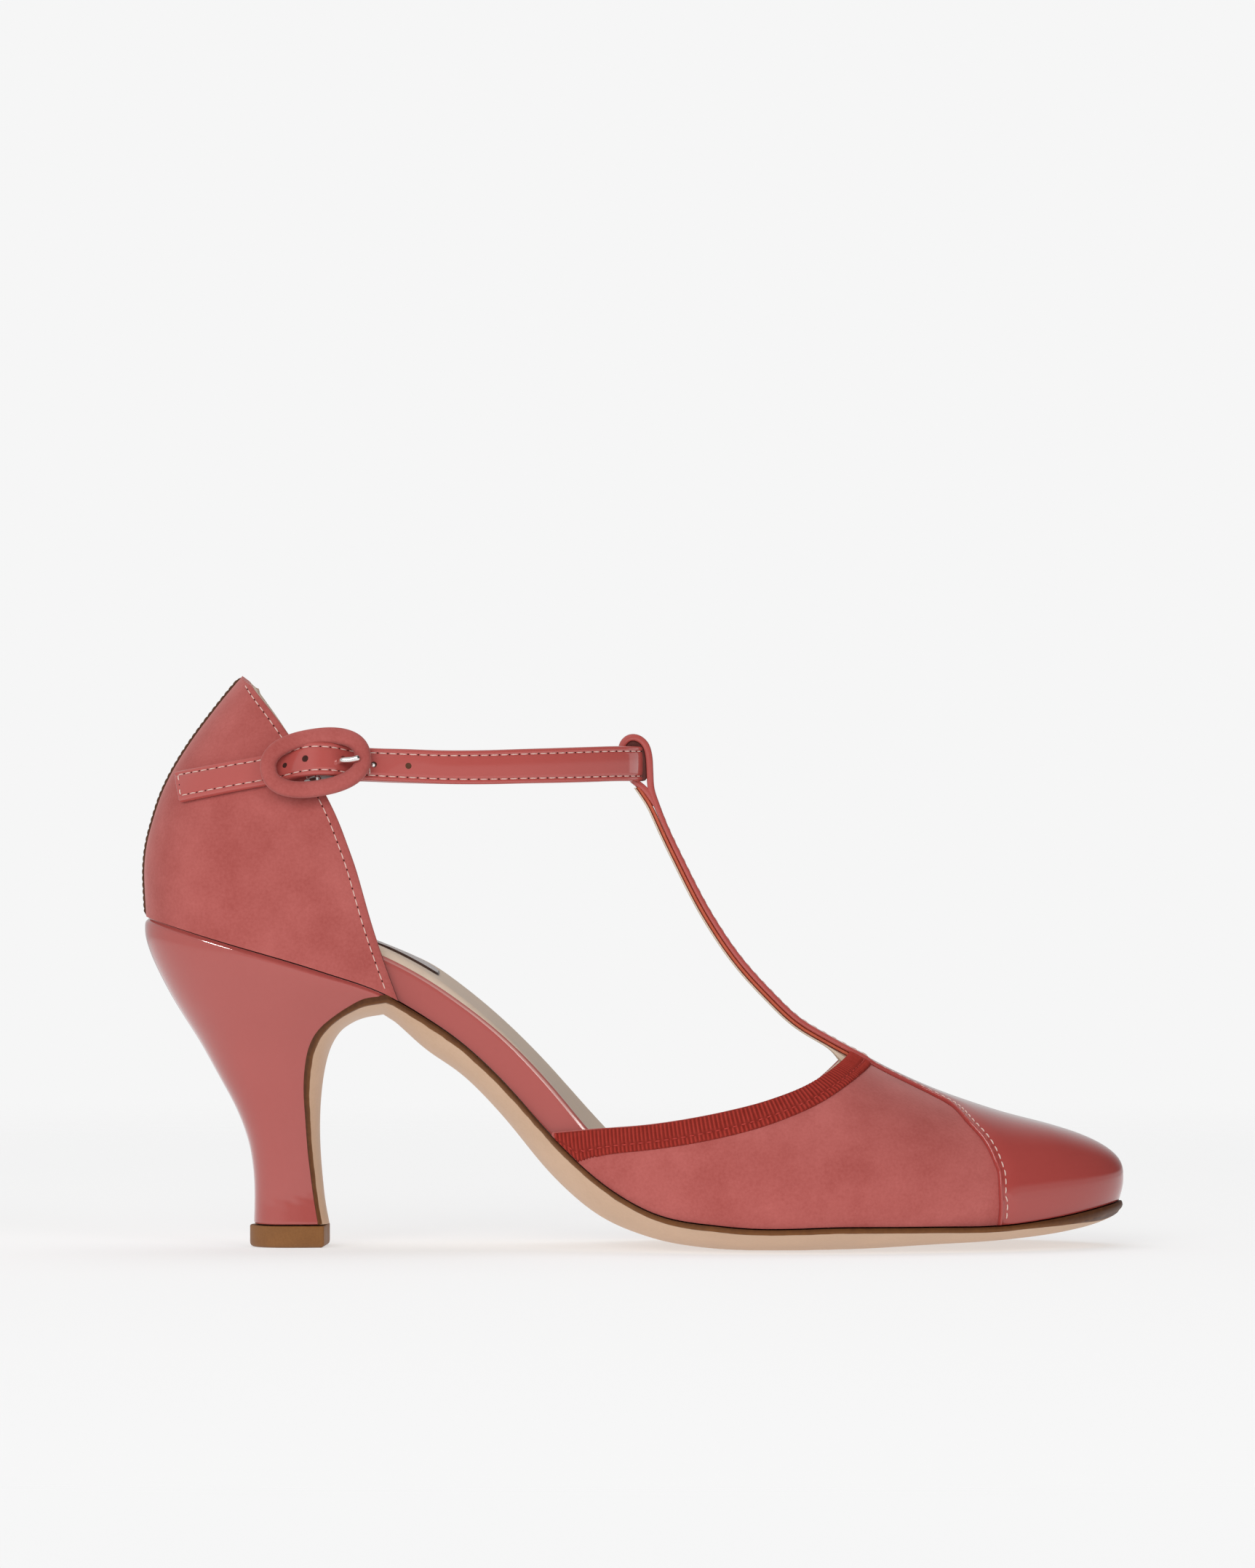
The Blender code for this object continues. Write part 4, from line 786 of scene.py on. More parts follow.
# ribbon: ribbed binding laid on the outside of the topline on both sides
ribbonForm = {
    "width": 5.8, "rearWidth": 8.2, "rearRun": 9.0, "step": 0.11, "rows": 14, "leastRows": 4, "endLevel": 1.95,
    "soleShare": 0.98, "headingReach": 40, "headingSamples": 14, "under": 0.02,
    # ribs, and how they and the thickness fall off to the edges and into the stitch line
    "pitch": 0.95, "rib": 0.15, "lift": 0.45, "edgeRound": 0.22, "edgeLift": 0.45, "edgeRib": 0.35,
    "groove": 0.16, "grooveWidth": 0.32, "ribFade": 0.75, "ribFadeWidth": 0.35,
    # needle share and width: strength and width of the painted needle-hole shade on the stitch line
    "needleShare": 0.65, "needleWidth": 0.30, "stitchAt": 3.9, "stitchFrom": 5.0,
    "stitch": {"pitch": 2.1, "length": 1.3, "width": 0.34, "height": 0.26, "end": 1.0, "sink": 0.02},
}


def ribbonSide(side):
    # topline carried down the surface by the ribbon width; ribs are a cosine along the line
    f = ribbonForm
    first = wingStart(side)
    along = first + (throatX - first) * np.sin(np.linspace(0, 1, 4000) * np.pi / 2)
    level = levelAtHeight(along, np.full_like(along, side), toplineAt(along, side))
    run = runLength(upperPoint(along, side, level))
    lowest = np.argmin(level)
    place = np.arange(0, np.interp(f["endLevel"], level[lowest:], run[lowest:]), f["step"])
    along, level = np.interp(place, run, along), np.minimum(np.interp(place, run, level), 1.99)
    byAlong, byLevel = upperSlopes(along, side, level)
    # direction down the surface, square to the smoothed topline
    reach = f["headingReach"]
    weight = np.exp(-0.5 * (np.arange(-reach, reach + 1) / f["headingSamples"]) ** 2)
    slope = np.pad(np.gradient(upperPoint(along, side, level), axis=0), ((reach, reach), (0, 0)), mode="edge")
    ahead = unit(np.stack([np.convolve(column, weight, mode="valid") for column in slope.T], 1))
    heading = unit(np.cross(np.cross(byAlong, byLevel), ahead))
    heading *= np.sign(-(heading * byLevel).sum(-1, keepdims=True))
    # the width is cut where the walk would reach the sole, and the tail starts where a few rows fit
    steps = f["rows"] - 1
    wide = f["width"] + (f["rearWidth"] - f["width"]) * bell(place, f["rearRun"])
    fall = np.stack([row[1] for row in walkUpper(along, side, level, heading, wide, steps)])
    inside = (fall > 0).sum(0)
    last = np.clip(inside - 1, 1, steps)
    columns = np.arange(len(along))
    drop = np.maximum(fall[last - 1, columns] - fall[last, columns], 1e-6)
    part = np.where(last < steps, (last + fall[last, columns] / drop) / steps, 1.0)
    wide = wide * np.minimum(part * f["soleShare"], 1.0)
    start = np.argmax(inside >= f["leastRows"])
    along, level, heading, wide, place = (values[start:] for values in (along, level, heading, wide, place))
    along, level = (np.stack(rows) for rows in zip(*walkUpper(along, side, level, heading, wide, steps)))
    # height over the vamp, and the painted shade of the rib grooves and needle holes
    down = np.linspace(0, f["width"], steps + 1)[:, None]
    fromStitch = down - f["stitchAt"]
    wave = np.cos(2 * np.pi * place / f["pitch"])
    fade = 1 - f["ribFade"] * bell(fromStitch, f["ribFadeWidth"])
    edge = 1 - np.exp(-(np.minimum(down, f["width"] - down) / f["edgeRound"]))
    lift = f["lift"] * (f["edgeLift"] + (1 - f["edgeLift"]) * edge)
    lift = lift + f["rib"] * wave * fade * (f["edgeRib"] + (1 - f["edgeRib"]) * edge)
    lift = lift - f["groove"] * bell(fromStitch, f["grooveWidth"])
    top, under = (upperPoint(along, side, level, height) for height in (lift, f["under"]))
    row = int(round(f["stitchAt"] / f["width"] * steps))
    fromNeedle = place - f["stitchFrom"] - f["stitch"]["length"] / 2
    needle = np.clip(0.5 - 0.9 * np.cos(2 * np.pi * fromNeedle / f["stitch"]["pitch"]), 0, 1)
    needle = 1 - f["needleShare"] + f["needleShare"] * needle
    shade = np.clip(0.5 + 0.5 * wave * fade, 0, 1) * (1 - bell(fromStitch, f["needleWidth"]) * needle)
    return top, under, top[row], unit(top[row] - under[row]), shade, place[0]


def buildRibbon():
    # one closed band for each side, and the stitches of both
    runs = []
    for side, name in ((outer, "ribbonOuter"), (inner, "ribbonInner")):
        top, under, path, normal, shade, trimmed = ribbonSide(side)
        addPiece(name, slabBlocks(top, under, rib=shade), [finish["ribbon"]])
        runs.append(stitchRun(path, normal, start=ribbonForm["stitchFrom"] - trimmed, **ribbonForm["stitch"]))
    addStitches("ribbonStitches", runs, finish["redThread"])


buildRibbon()
print("ribbon done")

# counter: suede back part, hollow, lined, open at the front, top and underneath
counterForm = {
    "wall": 1.9, "columns": 84, "rows": 90, "innerFront": 0.93, "peakDrop": 2.2, "rimSteps": 5, "rimDepth": 0.6,
    "paintedShadeRows": 14, "seamRoom": 0.5, "stitchIn": 1.8, "stitchClimb": (0.012, 0.985), "stitchSamples": 500,
    "stitch": {"pitch": 2.25, "length": 1.65, "width": 0.25, "height": 0.22},
    # height, back, front, width against the seat
    "shape": [
        (56.0, 0.7, 61.0, 1.005), (66.0, 0.7, 57.3, 1.005), (77.0, 0.6, 53.7, 1.012), (82.0, 0.3, 52.3, 1.025),
        (89.0, 0.15, 50.3, 1.03), (94.4, 0.8, 48.35, 1.015), (99.0, 2.0, 46.6, 0.985), (106.0, 4.3, 43.2, 0.94),
        (112.7, 7.7, 39.2, 0.885), (118.0, 11.1, 35.8, 0.84), (125.0, 16.3, 30.6, 0.79), (130.0, 20.3, 26.5, 0.76),
        (133.2, 23.0, 24.1, 0.75),
    ],
}
counterTable = np.array(counterForm["shape"]).T
counterTable[1] += counterForm["seamRoom"]
counterBack, counterFront, counterWidth = (
    tableCurve(counterTable[0], column, 1.5) for column in counterTable[1:])


def seatEdge(fromBack, side):
    # outer edge of the seat by distance from its back: superellipse, then the waist table, moved out
    f = lastForm
    length = f["heelRound"] + f["seatOut"]
    part = np.clip(1 - fromBack / length, 0, 1)
    heel = (f["heelHalf"] + f["seatOut"]) * (1 - part ** f["heelPower"]) ** (1 / f["heelPower"])
    waist = waistHalf[0 if side < 0 else 1](fromBack + f["heelBack"] - f["seatOut"]) + f["seatOut"]
    return side * np.where(fromBack < length, heel, waist)


def counterY(x, z, side):
    # the seat's edge at the distance from the counter's back line, times the width for that height
    return counterWidth(z) * seatEdge(np.maximum(x - counterBack(z), 0), side)


def counterReach(side):
    # the inner side stops a little further back
    return counterForm["innerFront"] if side > 0 else 1.0


def counterPoint(share, climb, side):
    # share from the back seam to the front edge, climb from the seat to the top, between the tables' lines;
    # the foot's place and height depend on each other, so they are worked out in turns until they agree
    reach = counterReach(side)
    share, climb = np.broadcast_arrays(share, climb)
    footX = share * counterTable[2][0]
    for _ in range(40):
        low = bedZ(footX) + bedArch(footX) * (1 + side) / 2 + halfGap
        footX = counterBack(low) + share * reach * (counterFront(low) - counterBack(low))
    top = counterTable[0][-1] - counterForm["peakDrop"] * share**2
    z = low + (top - low) * climb
    x = counterBack(z) + share * reach * (counterFront(z) - counterBack(z))
    return np.stack([x, counterY(x, z, side), z], -1)


def counterRun(distance, side, climb, step=0.004):
    # line on the counter a given distance behind its front edge, with normals from small differences
    height = counterPoint(np.ones_like(climb), climb, side)[:, 2]
    depth = np.maximum((counterFront(height) - counterBack(height)) * counterReach(side), distance + 0.5)
    share = 1 - distance / depth
    ahead = counterPoint(share, np.minimum(climb + step, 1), side) - counterPoint(share, climb - step, side)
    across = counterPoint(np.minimum(share + step, 1), climb, side) - counterPoint(share - step, climb, side)
    normal = unit(np.cross(across, ahead))
    return counterPoint(share, climb, side), normal * np.sign(normal[:, 1:2] * side)


def buildCounter():
    # outer half, back seam, inner half; the lining is moved in by the wall, and a half round closes the front
    # edges, with a strip of painted shade near the foot for the counter's shadow on the insole
    f = counterForm
    share = np.linspace(0, 1, f["columns"]) ** lastForm["gather"]
    climb = np.linspace(0, 1, f["rows"])[None, :]
    halves = [counterPoint(share[:, None], climb, side) for side in bothSides]
    skin = np.concatenate([halves[0][::-1], halves[1][1:]])
    normal = gridNormals(skin)
    normal *= np.sign(normal[-5, 20, 1])  # outwards
    lining = skin - normal * f["wall"]
    blocks = [(skin, 0), (lining, 1)] + sideCaps(skin, lining)
    foot = f["paintedShadeRows"]
    for edge, near in ((0, 3), (-1, -4)):
        away = unit(skin[edge] - skin[near])
        rim = rimRows(skin[edge], lining[edge], away, f["rimSteps"], f["rimDepth"])
        rows = np.concatenate([skin[edge][None], rim, lining[edge][None]])
        # painted shade: near the foot the rim's outer rows are dark
        blocks += [(rows[:2, :foot], 0), (rows[1:4, :foot], 2), (rows[3:, :foot], 1)]
        blocks += [(rows[:3, foot - 1:], 0), (rows[2:, foot - 1:], 1)]
    looks = [finish["suede"], finish["lining"], finish["paintedShadeDark"]]
    addPiece("counterSuede", blocks, looks, ["counter"])
    climb = np.linspace(*f["stitchClimb"], f["stitchSamples"])
    runs = [stitchPair(*counterRun(f["stitchIn"], side, climb), **f["stitch"]) for side in bothSides]
    addStitchPairs("counter", runs)


buildCounter()

# back seam: dark whipped bead down the middle of the back
seamForm = {"radius": 0.36, "wave": 0.20, "wavePower": 0.7, "pitch": 1.56, "wide": 2.2, "sink": -0.05,
            "climb": (0.004, 0.992), "samples": 560, "around": 15, "endRun": 1.2, "endSize": 0.15}


def closedTube(tube):
    # rings of points with both ends drawn to their middles
    ends = [np.repeat(tube[i].mean(0)[None], tube.shape[1], 0) for i in (0, -1)]
    return np.concatenate([ends[0][None], tube, ends[1][None]])


def buildBackSeam():
    # flat tube on the back line whose radius swells with each whip of the thread and fades at both ends
    f = seamForm
    climb = np.linspace(*f["climb"], f["samples"])
    path = counterPoint(np.zeros_like(climb), climb, outer)
    run = runLength(path)
    ahead = unit(np.gradient(path, axis=0))
    away = np.stack([-ahead[:, 2], np.zeros(len(path)), ahead[:, 0]], 1)
    across = np.array([0.0, f["wide"], 0.0])
    swell = f["radius"] + f["wave"] * np.abs(np.sin(np.pi * run / f["pitch"])) ** f["wavePower"]
    swell = swell * np.minimum(1, np.minimum(run, run[-1] - run) / f["endRun"] + f["endSize"])
    turn = fullTurn(f["around"])[None, :, None]
    ring = np.cos(turn) * across + np.sin(turn) * away[:, None]
    tube = path[:, None] - away[:, None] * f["sink"] + swell[:, None, None] * ring
    addPiece("backSeamBead", [(closedTube(tube), 0)], [finish["brownThread"]])


buildBackSeam()
print("counter done")

# insole: board wrapped in patent, its edge shows in the open waist
insoleForm = {
    "inset": 0.25, "stations": 260, "topColumns": 22, "wallRows": 7,
    # rounded crease over the wall, then a sloping rim; both shrink to a share of the width at heel and toe
    "crease": 0.45, "creaseTurn": 62, "creaseRows": 7, "rim": 1.9, "rimDrop": 0.9, "rimRows": 5, "rimShare": 0.2,
    # painted highlight: paleness of each row of the crease and the rim, growing along the shoe from a least share
    "fold": [0, 0, 0, 0.1, 0.35, 0.65, 0.75, 0.4, 0.1, 0, 0, 0],
    "foldFrom": 40.0, "foldRun": 50.0, "foldLeast": 0.2,
}


def shoeStations(first, last, count):
    # places along the shoe between two ends, closer together where the outline turns at heel and toe
    full = cosineStations(count)
    return np.unique(np.concatenate([[first], full[(full > first) & (full < last)], [last]]))


def edgeLine(x, side, out):
    # insole edge moved out along its normal, and that normal
    y, normalX, normalY = edgeAt(x, np.full_like(x, side))
    return np.stack([x + normalX * out, y + normalY * out], 1), np.stack([normalX, normalY], 1)


def insoleTop(x, share):
    # top of the insole: bed, arch lift by the square of the share across, and the insole height
    return bedZ(x) + bedArch(x) * share**2 + bedInsole(x)


def rimProfile():
    # inward distance and height below the top: an arc for the crease, then a rim that levels out by a square
    f = insoleForm
    turn = np.linspace(0, np.radians(f["creaseTurn"]), f["creaseRows"])
    slope = np.linspace(0, 1, f["rimRows"] + 1)[1:]
    inward, upward = f["crease"] * (1 - np.cos(turn)), f["crease"] * np.sin(turn)
    inward = np.concatenate([inward, inward[-1] + (f["rim"] - inward[-1]) * slope])
    upward = np.concatenate([upward, upward[-1] + f["rimDrop"] * (1 - (1 - slope) ** 2)])
    return inward, upward - upward[-1]


def buildInsole():
    # wall, crease and rim on both sides, with the top and the bottom between them
    f = insoleForm
    x = shoeStations(heelBack, tipX, f["stations"])
    (low, lowNormal), (high, highNormal) = (edgeLine(x, side, -f["inset"]) for side in bothSides)
    size = np.minimum(1.0, f["rimShare"] * np.abs(high[:, 1] - low[:, 1]))[:, None]
    wall = np.linspace(0, 1, f["wallRows"] + 1)[:-1]
    rimIn, rimUp = rimProfile()
    shares = np.linspace(0, 1, f["topColumns"])

    def flank(edge, normal, share):
        # one side from the bed up its wall, over the crease and in along the rim
        foot = bedZ(edge[:, :1]) + bedArch(edge[:, :1]) * share**2 + halfGap
        roundZ = insoleTop(edge[:, :1], share) + size * rimUp
        wallZ = foot + (roundZ[:, :1] - foot) * wall
        back = np.concatenate([np.zeros_like(wallZ), size * rimIn], 1)
        flat = edge[:, None] - normal[:, None] * back[:, :, None]
        return np.concatenate([flat, np.concatenate([wallZ, roundZ], 1)[:, :, None]], 2)

    left, right = flank(low, lowNormal, 0.0), flank(high, highNormal, 1.0)
    first, last = left[:, -1], right[:, -1]
    top = between(first, last, shares)
    top[:, :, 2] = insoleTop(top[:, :, 0], shares[None, :])
    top[:, 0], top[:, -1] = first, last
    bottom = between(left[:, 0], right[:, 0], shares)
    bottom[:, :, 2] = bedAt(bottom[:, :, 0], 2 * shares[None, :] - 1) + halfGap
    # painted highlight along the crease, by the fold attribute
    forward = np.clip((x[:, None] - f["foldFrom"]) / f["foldRun"], f["foldLeast"], 1)
    fold = {"fold": np.concatenate([np.zeros(len(wall)), f["fold"]])[None, :] * forward}
    blocks = [(left, 0, fold), (top, 1), (right, 0, fold), (bottom, 1)]
    addPiece("insoleWrap", blocks, [finish["heelPatent"], finish["lining"]], ["insole"])


buildInsole()

# sock: thin leather on the insole, just inside its rim, padded under the heel
sockForm = {"inset": 1.7, "endRoom": 0.4, "least": 0.8, "columns": 40, "under": 0.15, "edgeRun": 1.2,
            "edgeThick": 0.1, "thick": 0.6, "padThick": 1.05, "padFrom": 90.0, "padRun": 24.0}


def sockHeight(x):
    # thickness of the sock, padded under the heel by an eased step
    part = ramp(sockForm["padFrom"], x, sockForm["padRun"])
    return sockForm["thick"] + sockForm["padThick"] * easeStep(part)


def buildSock():
    # sheet over the insole whose thickness falls to its edges by a quarter round
    f = sockForm
    room = f["inset"] + f["endRoom"]
    x = shoeStations(heelBack + room, tipX - room, insoleForm["stations"])
    low, high = (edgeLine(x, side, -f["inset"])[0] for side in bothSides)
    keep = high[:, 1] - low[:, 1] > f["least"]
    low, high = low[keep], high[keep]
    span = np.linspace(0, 1, f["columns"])
    flat = between(low, high, span)
    base = insoleTop(flat[:, :, 0], span[None, :])
    edge = np.minimum(span, 1 - span)[None, :] * (high - low)[:, 1:2]
    full = sockHeight(flat[:, :, 0])
    thick = full * quarterRound(np.clip(edge / (f["edgeRun"] + full), 0, 1))
    thick = thick * (1 - f["edgeThick"]) + f["edgeThick"]
    top, under = (np.concatenate([flat, (base + up)[:, :, None]], 2) for up in (thick, -f["under"]))
    addPiece("sockLining", slabBlocks(top, under), [finish["lining"]])


buildSock()

# blank label on the heel of the sock
labelForm = {"x": (36.0, 69.5), "y": 0.3, "half": 7.0, "square": 6.0, "thick": 0.55, "under": -0.1, "count": 90,
             # size and height of the rows round its edge, and the sizes of the rows of its top
             "edge": [(0.02, -0.1), (0.98, -0.1), (1.0, 0.05), (1.0, 0.43)],
             "top": [0.985, 0.95, 0.8, 0.6, 0.4, 0.2, 0.02]}


def buildLabel():
    # rounded rectangle ring shrunk to its middle, laid on the sock
    f = labelForm
    turn = fullTurn(f["count"] + 1)
    middle, half = sum(f["x"]) / 2, (f["x"][1] - f["x"][0]) / 2
    ringX = signedPower(np.cos(turn), 2 / f["square"]) * half
    ringY = signedPower(np.sin(turn), 2 / f["square"]) * f["half"]

    def layer(shrink, up):
        # ring at a size, a height above the sock
        x, y = middle + ringX * shrink, ringY * shrink + f["y"]
        low, high = edgeY(x, outer), edgeY(x, inner)
        return np.stack([x, y, insoleTop(x, (y - low) / (high - low)) + sockHeight(x) + up], 1)

    edge = np.stack([layer(*row) for row in f["edge"]])
    top = np.stack([layer(shrink, f["thick"]) for shrink in f["top"]])
    cap, floor = capBetween(top[-1], layer(0.0, f["thick"])), capBetween(layer(0.0, f["under"]), edge[0])
    blocks = [(edge, 1), (capBetween(edge[-1], top[0]), 1), (top, 0), (cap, 0), (floor, 1)]
    addPiece("sockLabel", blocks, [finish["label"], finish["labelEdge"]])


buildLabel()
print("insole done")

# heel: curved block covered in patent
heelForm = {
    # back x, back z, breast x, breast z, flap x, flap z, half width, from the seat down
    "rows": [
        (0.9, 76.9, 58.2, 59.0, 56.6, 54.2, 25.9), (1.2, 73.0, 53.0, 58.4, 52.0, 53.4, 25.2),
        (2.3, 69.0, 49.2, 56.5, 48.7, 51.9, 23.8), (4.2, 64.6, 45.6, 54.1, 46.2, 49.9, 22.0),
        (7.2, 58.8, 42.0, 51.0, 44.2, 46.6, 19.8), (10.4, 53.5, 39.8, 47.3, 43.0, 42.7, 17.4),
        (14.2, 47.5, 38.7, 42.6, 42.2, 38.0, 15.0), (18.3, 40.0, 38.3, 36.5, 41.7, 32.4, 12.8),
        (22.4, 32.4, 38.7, 29.5, 41.6, 26.0, 11.0), (25.2, 25.0, 39.2, 22.5, 41.9, 20.0, 9.9),
        (26.4, 18.2, 40.0, 16.0, 42.4, 14.5, 9.2), (26.7, 12.0, 40.7, 11.0, 42.9, 10.2, 9.0),
        (26.2, 5.4, 41.7, 5.4, 43.8, 5.4, 9.3),
    ],
    "down": 130, "around": 60, "backOut": 0.35, "rowBlur": 0.22, "topRows": (0.25, 12), "footRows": (0.2, 8),
    # how far the cover turns in at the seat and at the foot, and over how many rows
    "seatIn": 0.9, "seatRows": 0.19, "footIn": 0.3, "footTuckRows": 0.05,
    # wrinkles over the foot: size, row, rows, then share, row and start of two waves
    "wrinkle": 0.02, "wrinkleRow": 11.1, "wrinkleRows": 0.45, "wrinkleWaves": ((9, 5, 0.0), (21, -8, 2.5)),
}
heelTable = np.array(heelForm["rows"]).T
heelIndex = np.arange(len(heelForm["rows"]), dtype=float)
heelTable[0][1:-1] -= heelForm["backOut"]
heelBackX, heelBackZ, breastX, breastZ, flapX, flapZ, heelHalf = (
    tableCurve(heelIndex, column, heelForm["rowBlur"]) for column in heelTable)


def heelOutline(share, side):
    # half width of a section against its greatest, from back 0 to breast 1
    depth = lastForm["seatFront"] - counterTable[1][2]
    return seatEdge(share * depth, side) / (lastForm["heelHalf"] + lastForm["seatOut"])


def heelPoint(row, share, side):
    # section row by number from the seat down, share from back to breast; the seat follows the bed
    f = heelForm
    row, share = np.broadcast_arrays(row, share)
    x = heelBackX(row) + (breastX(row) - heelBackX(row)) * share
    z = heelBackZ(row) + (breastZ(row) - heelBackZ(row)) * share
    seatX = heelBackX(0.0) + (breastX(0.0) - heelBackX(0.0)) * share
    seatZ = heelBackZ(0.0) + (breastZ(0.0) - heelBackZ(0.0)) * share
    z = z + (bedZ(seatX) - halfGap - seatZ) * np.clip(1 - row, 0, 1)
    tuck = f["seatIn"] * bell(row, f["seatRows"]) + f["footIn"] * bell(heelIndex[-1] - row, f["footTuckRows"])
    first, second = (np.sin(byShare * share + byRow * row + start) for byShare, byRow, start in f["wrinkleWaves"])
    fold = f["wrinkle"] * bell(row - f["wrinkleRow"], f["wrinkleRows"]) * first * second
    y = (heelHalf(row) - tuck + fold * np.clip(3 * share, 0, 1)) * heelOutline(share, side)
    return np.stack([x + tuck * (1 - share) ** 4, y, z], -1)


def buildHeel():
    # outer and inner halves joined at the back, closed by the flat breast, the seat and the foot
    f = heelForm
    rows = [heelIndex[-1] * np.linspace(0, 1, f["down"]), np.linspace(0, *f["topRows"]),
            heelIndex[-1] - np.linspace(0, *f["footRows"])]
    rows = np.unique(np.concatenate(rows))
    share = np.linspace(0, 1, f["around"]) ** lastForm["gather"]
    halves = [heelPoint(rows[:, None], share[None], side) for side in bothSides]
    wall = np.concatenate([halves[0][:, ::-1], halves[1][:, 1:]], 1)
    blocks = [(wall, 0), (np.stack([wall[:, 0], wall[:, -1]], 1), 0)] + endCaps(*halves)
    addPiece("heelPatent", blocks, [finish["heelPatent"]], ["heel"])


buildHeel()

# top piece: brown lift with chamfered front corners
liftForm = {"back": 25.3, "front": 43.25, "half": 9.4, "columns": 70, "corner": 0.35, "cornerSteps": 5,
            "frontSkew": 0.05, "skewRun": 18.0, "sharp": 28,
            # height and inset of its edge
            "edge": [(0.0, 0.95), (0.1, 0.6), (0.3, 0.28), (0.65, 0.06), (1.1, 0.0), (2.6, 0.0), (4.0, 0.0),
                     (4.75, 0.0), (4.95, 0.08), (5.05, 0.25)]}


def buildTopPiece():
    # heel outline drawn down to the lift, with cut corners and a skewed front, stacked by its edge profile
    f = liftForm
    share = np.linspace(0, 1, f["columns"]) ** lastForm["gather"]
    x = f["back"] + (f["front"] - f["corner"] - f["back"]) * share
    half = f["half"] * -heelOutline(share, outer)
    x = np.concatenate([x, np.linspace(x[-1], f["front"], f["cornerSteps"])[1:]])
    half = np.concatenate([half, half[-1] - np.linspace(0, f["corner"], f["cornerSteps"])[1:]])
    flat = np.stack([np.concatenate([x[::-1], x[1:]]), np.concatenate([-half[::-1], half[1:]])], 1)
    flat[:, 0] += f["frontSkew"] * flat[:, 1] * ramp(flat[:, 0], f["back"], f["skewRun"]) ** 3
    away = unit(np.stack([np.gradient(flat[:, 1]), -np.gradient(flat[:, 0])], 1))
    away *= -np.sign(away[10, 1])  # outwards
    rows = np.stack([np.column_stack([flat - away * inset, np.full(len(flat), z)]) for z, inset in f["edge"]])
    count = len(x)
    blocks = [(rows, 0), (np.stack([rows[:, 0], rows[:, -1]], 1), 0)]
    blocks += endCaps(rows[:, :count][:, ::-1], rows[:, count - 1:])
    addPiece("heelLift", blocks, [finish["rubber"]], ["top_piece"], sharp=f["sharp"])


buildTopPiece()
print("heel done")

# outsole: crowned leather, dark edge, turned down over the heel breast
soleForm = {
    "across": 61, "stations": 300, "flapRows": 110, "edgeRows": 6, "crownPower": 2.8, "seatRoom": 0.8,
    # height and bulge of the edge; the flap's edge as a share of its depth, with a swell near one row
    "edge": 1.3, "edgeBulge": 0.22, "flapEdge": 0.30, "flapSwell": 0.07, "swellRow": 1.2, "swellRows": 1.6,
    # towards the toe the edge grows taller, bulges and leans in; the crown rounds off before the tip
    "toeFrom": 203.0, "toeRun": 21.0, "toeEdge": 2.5, "toeBulge": 0.55, "toeTuck": 0.8, "toeLip": 0.1,
    "tipRound": 8.0,
    # the stain spreads further in at the waist, the toe and the tip
    "waistStain": 0.5, "waistFrom": 112.0, "waistRun": 25.0, "toeStain": 0.4,
    "tipStain": 4.0, "tipFrom": 217.0, "tipRun": 7.0, "tipPower": 1.5,
    # marks for the stain: scale across the lower face, upper face, cut end
    "markScale": 1.35, "topMark": -1.3, "endMark": 0.5,
}


def soleFlap(row, shares, crown):
    # flap on the heel breast by heel row: back grid on the breast, front grid out to the flap by the crown
    f = soleForm
    ends = [heelHalf(row) * heelOutline(np.ones_like(row), side) for side in bothSides]
    y = ends[0][:, None] + (ends[1] - ends[0])[:, None] * shares
    breast, flap = np.stack([breastX(row), breastZ(row)], 1), np.stack([flapX(row), flapZ(row)], 1)
    back = breast - unit(flap - breast) * lastForm["gap"]
    edge = f["flapEdge"] + f["flapSwell"] * bell(row - f["swellRow"], f["swellRows"])[:, None]
    amount = edge + (1 - edge) * crown
    front = back[:, None] + (flap - back)[:, None] * amount[:, :, None]
    upper = np.stack([np.broadcast_to(back[:, :1], y.shape), y, np.broadcast_to(back[:, 1:], y.shape)], 2)
    return upper, np.stack([front[:, :, 0], y, front[:, :, 1]], 2)


def soleBody(x, toe, shares, crown):
    # from the seat to the toe: upper grid on the bed, lower grid below the edge by the sole depth times the crown
    f = soleForm
    low, high = (edgeLine(x, side, bedWelt(x) - f["toeLip"] * toe)[0] for side in bothSides)
    lowFace, highFace = (edgeLine(x, side, bedWelt(x) - f["toeTuck"] * toe)[0] for side in bothSides)
    lowIn, highIn = (edgeLine(x, side, 0.0)[0] for side in bothSides)
    flat = between(low, high, shares)
    along = flat[:, :, 0]
    span = np.maximum(highIn[:, 1:] - lowIn[:, 1:], 0.01)
    across = np.clip(2 * (flat[:, :, 1] - lowIn[:, 1:]) / span - 1, -1, 1)
    edge = bedZ(along) + bedArch(along) * ((1 + across) / 2) ** 2
    topZ = bedAt(along, across) - halfGap
    tall = f["edge"] + (f["toeEdge"] - f["edge"]) * easeStep(ramp(along, f["toeFrom"], f["toeRun"]))
    tipFade = quarterRound(ramp(tipX, x, f["tipRound"]))[:, None]
    lowZ = edge - tall - (bedDepth(along) - tall) * crown * tipFade
    lowZ = np.maximum(np.minimum(lowZ, topZ - f["edge"] + halfGap), 0.0)
    under = between(lowFace, highFace, shares)
    return np.concatenate([flat, topZ[:, :, None]], 2), np.concatenate([under, lowZ[:, :, None]], 2)


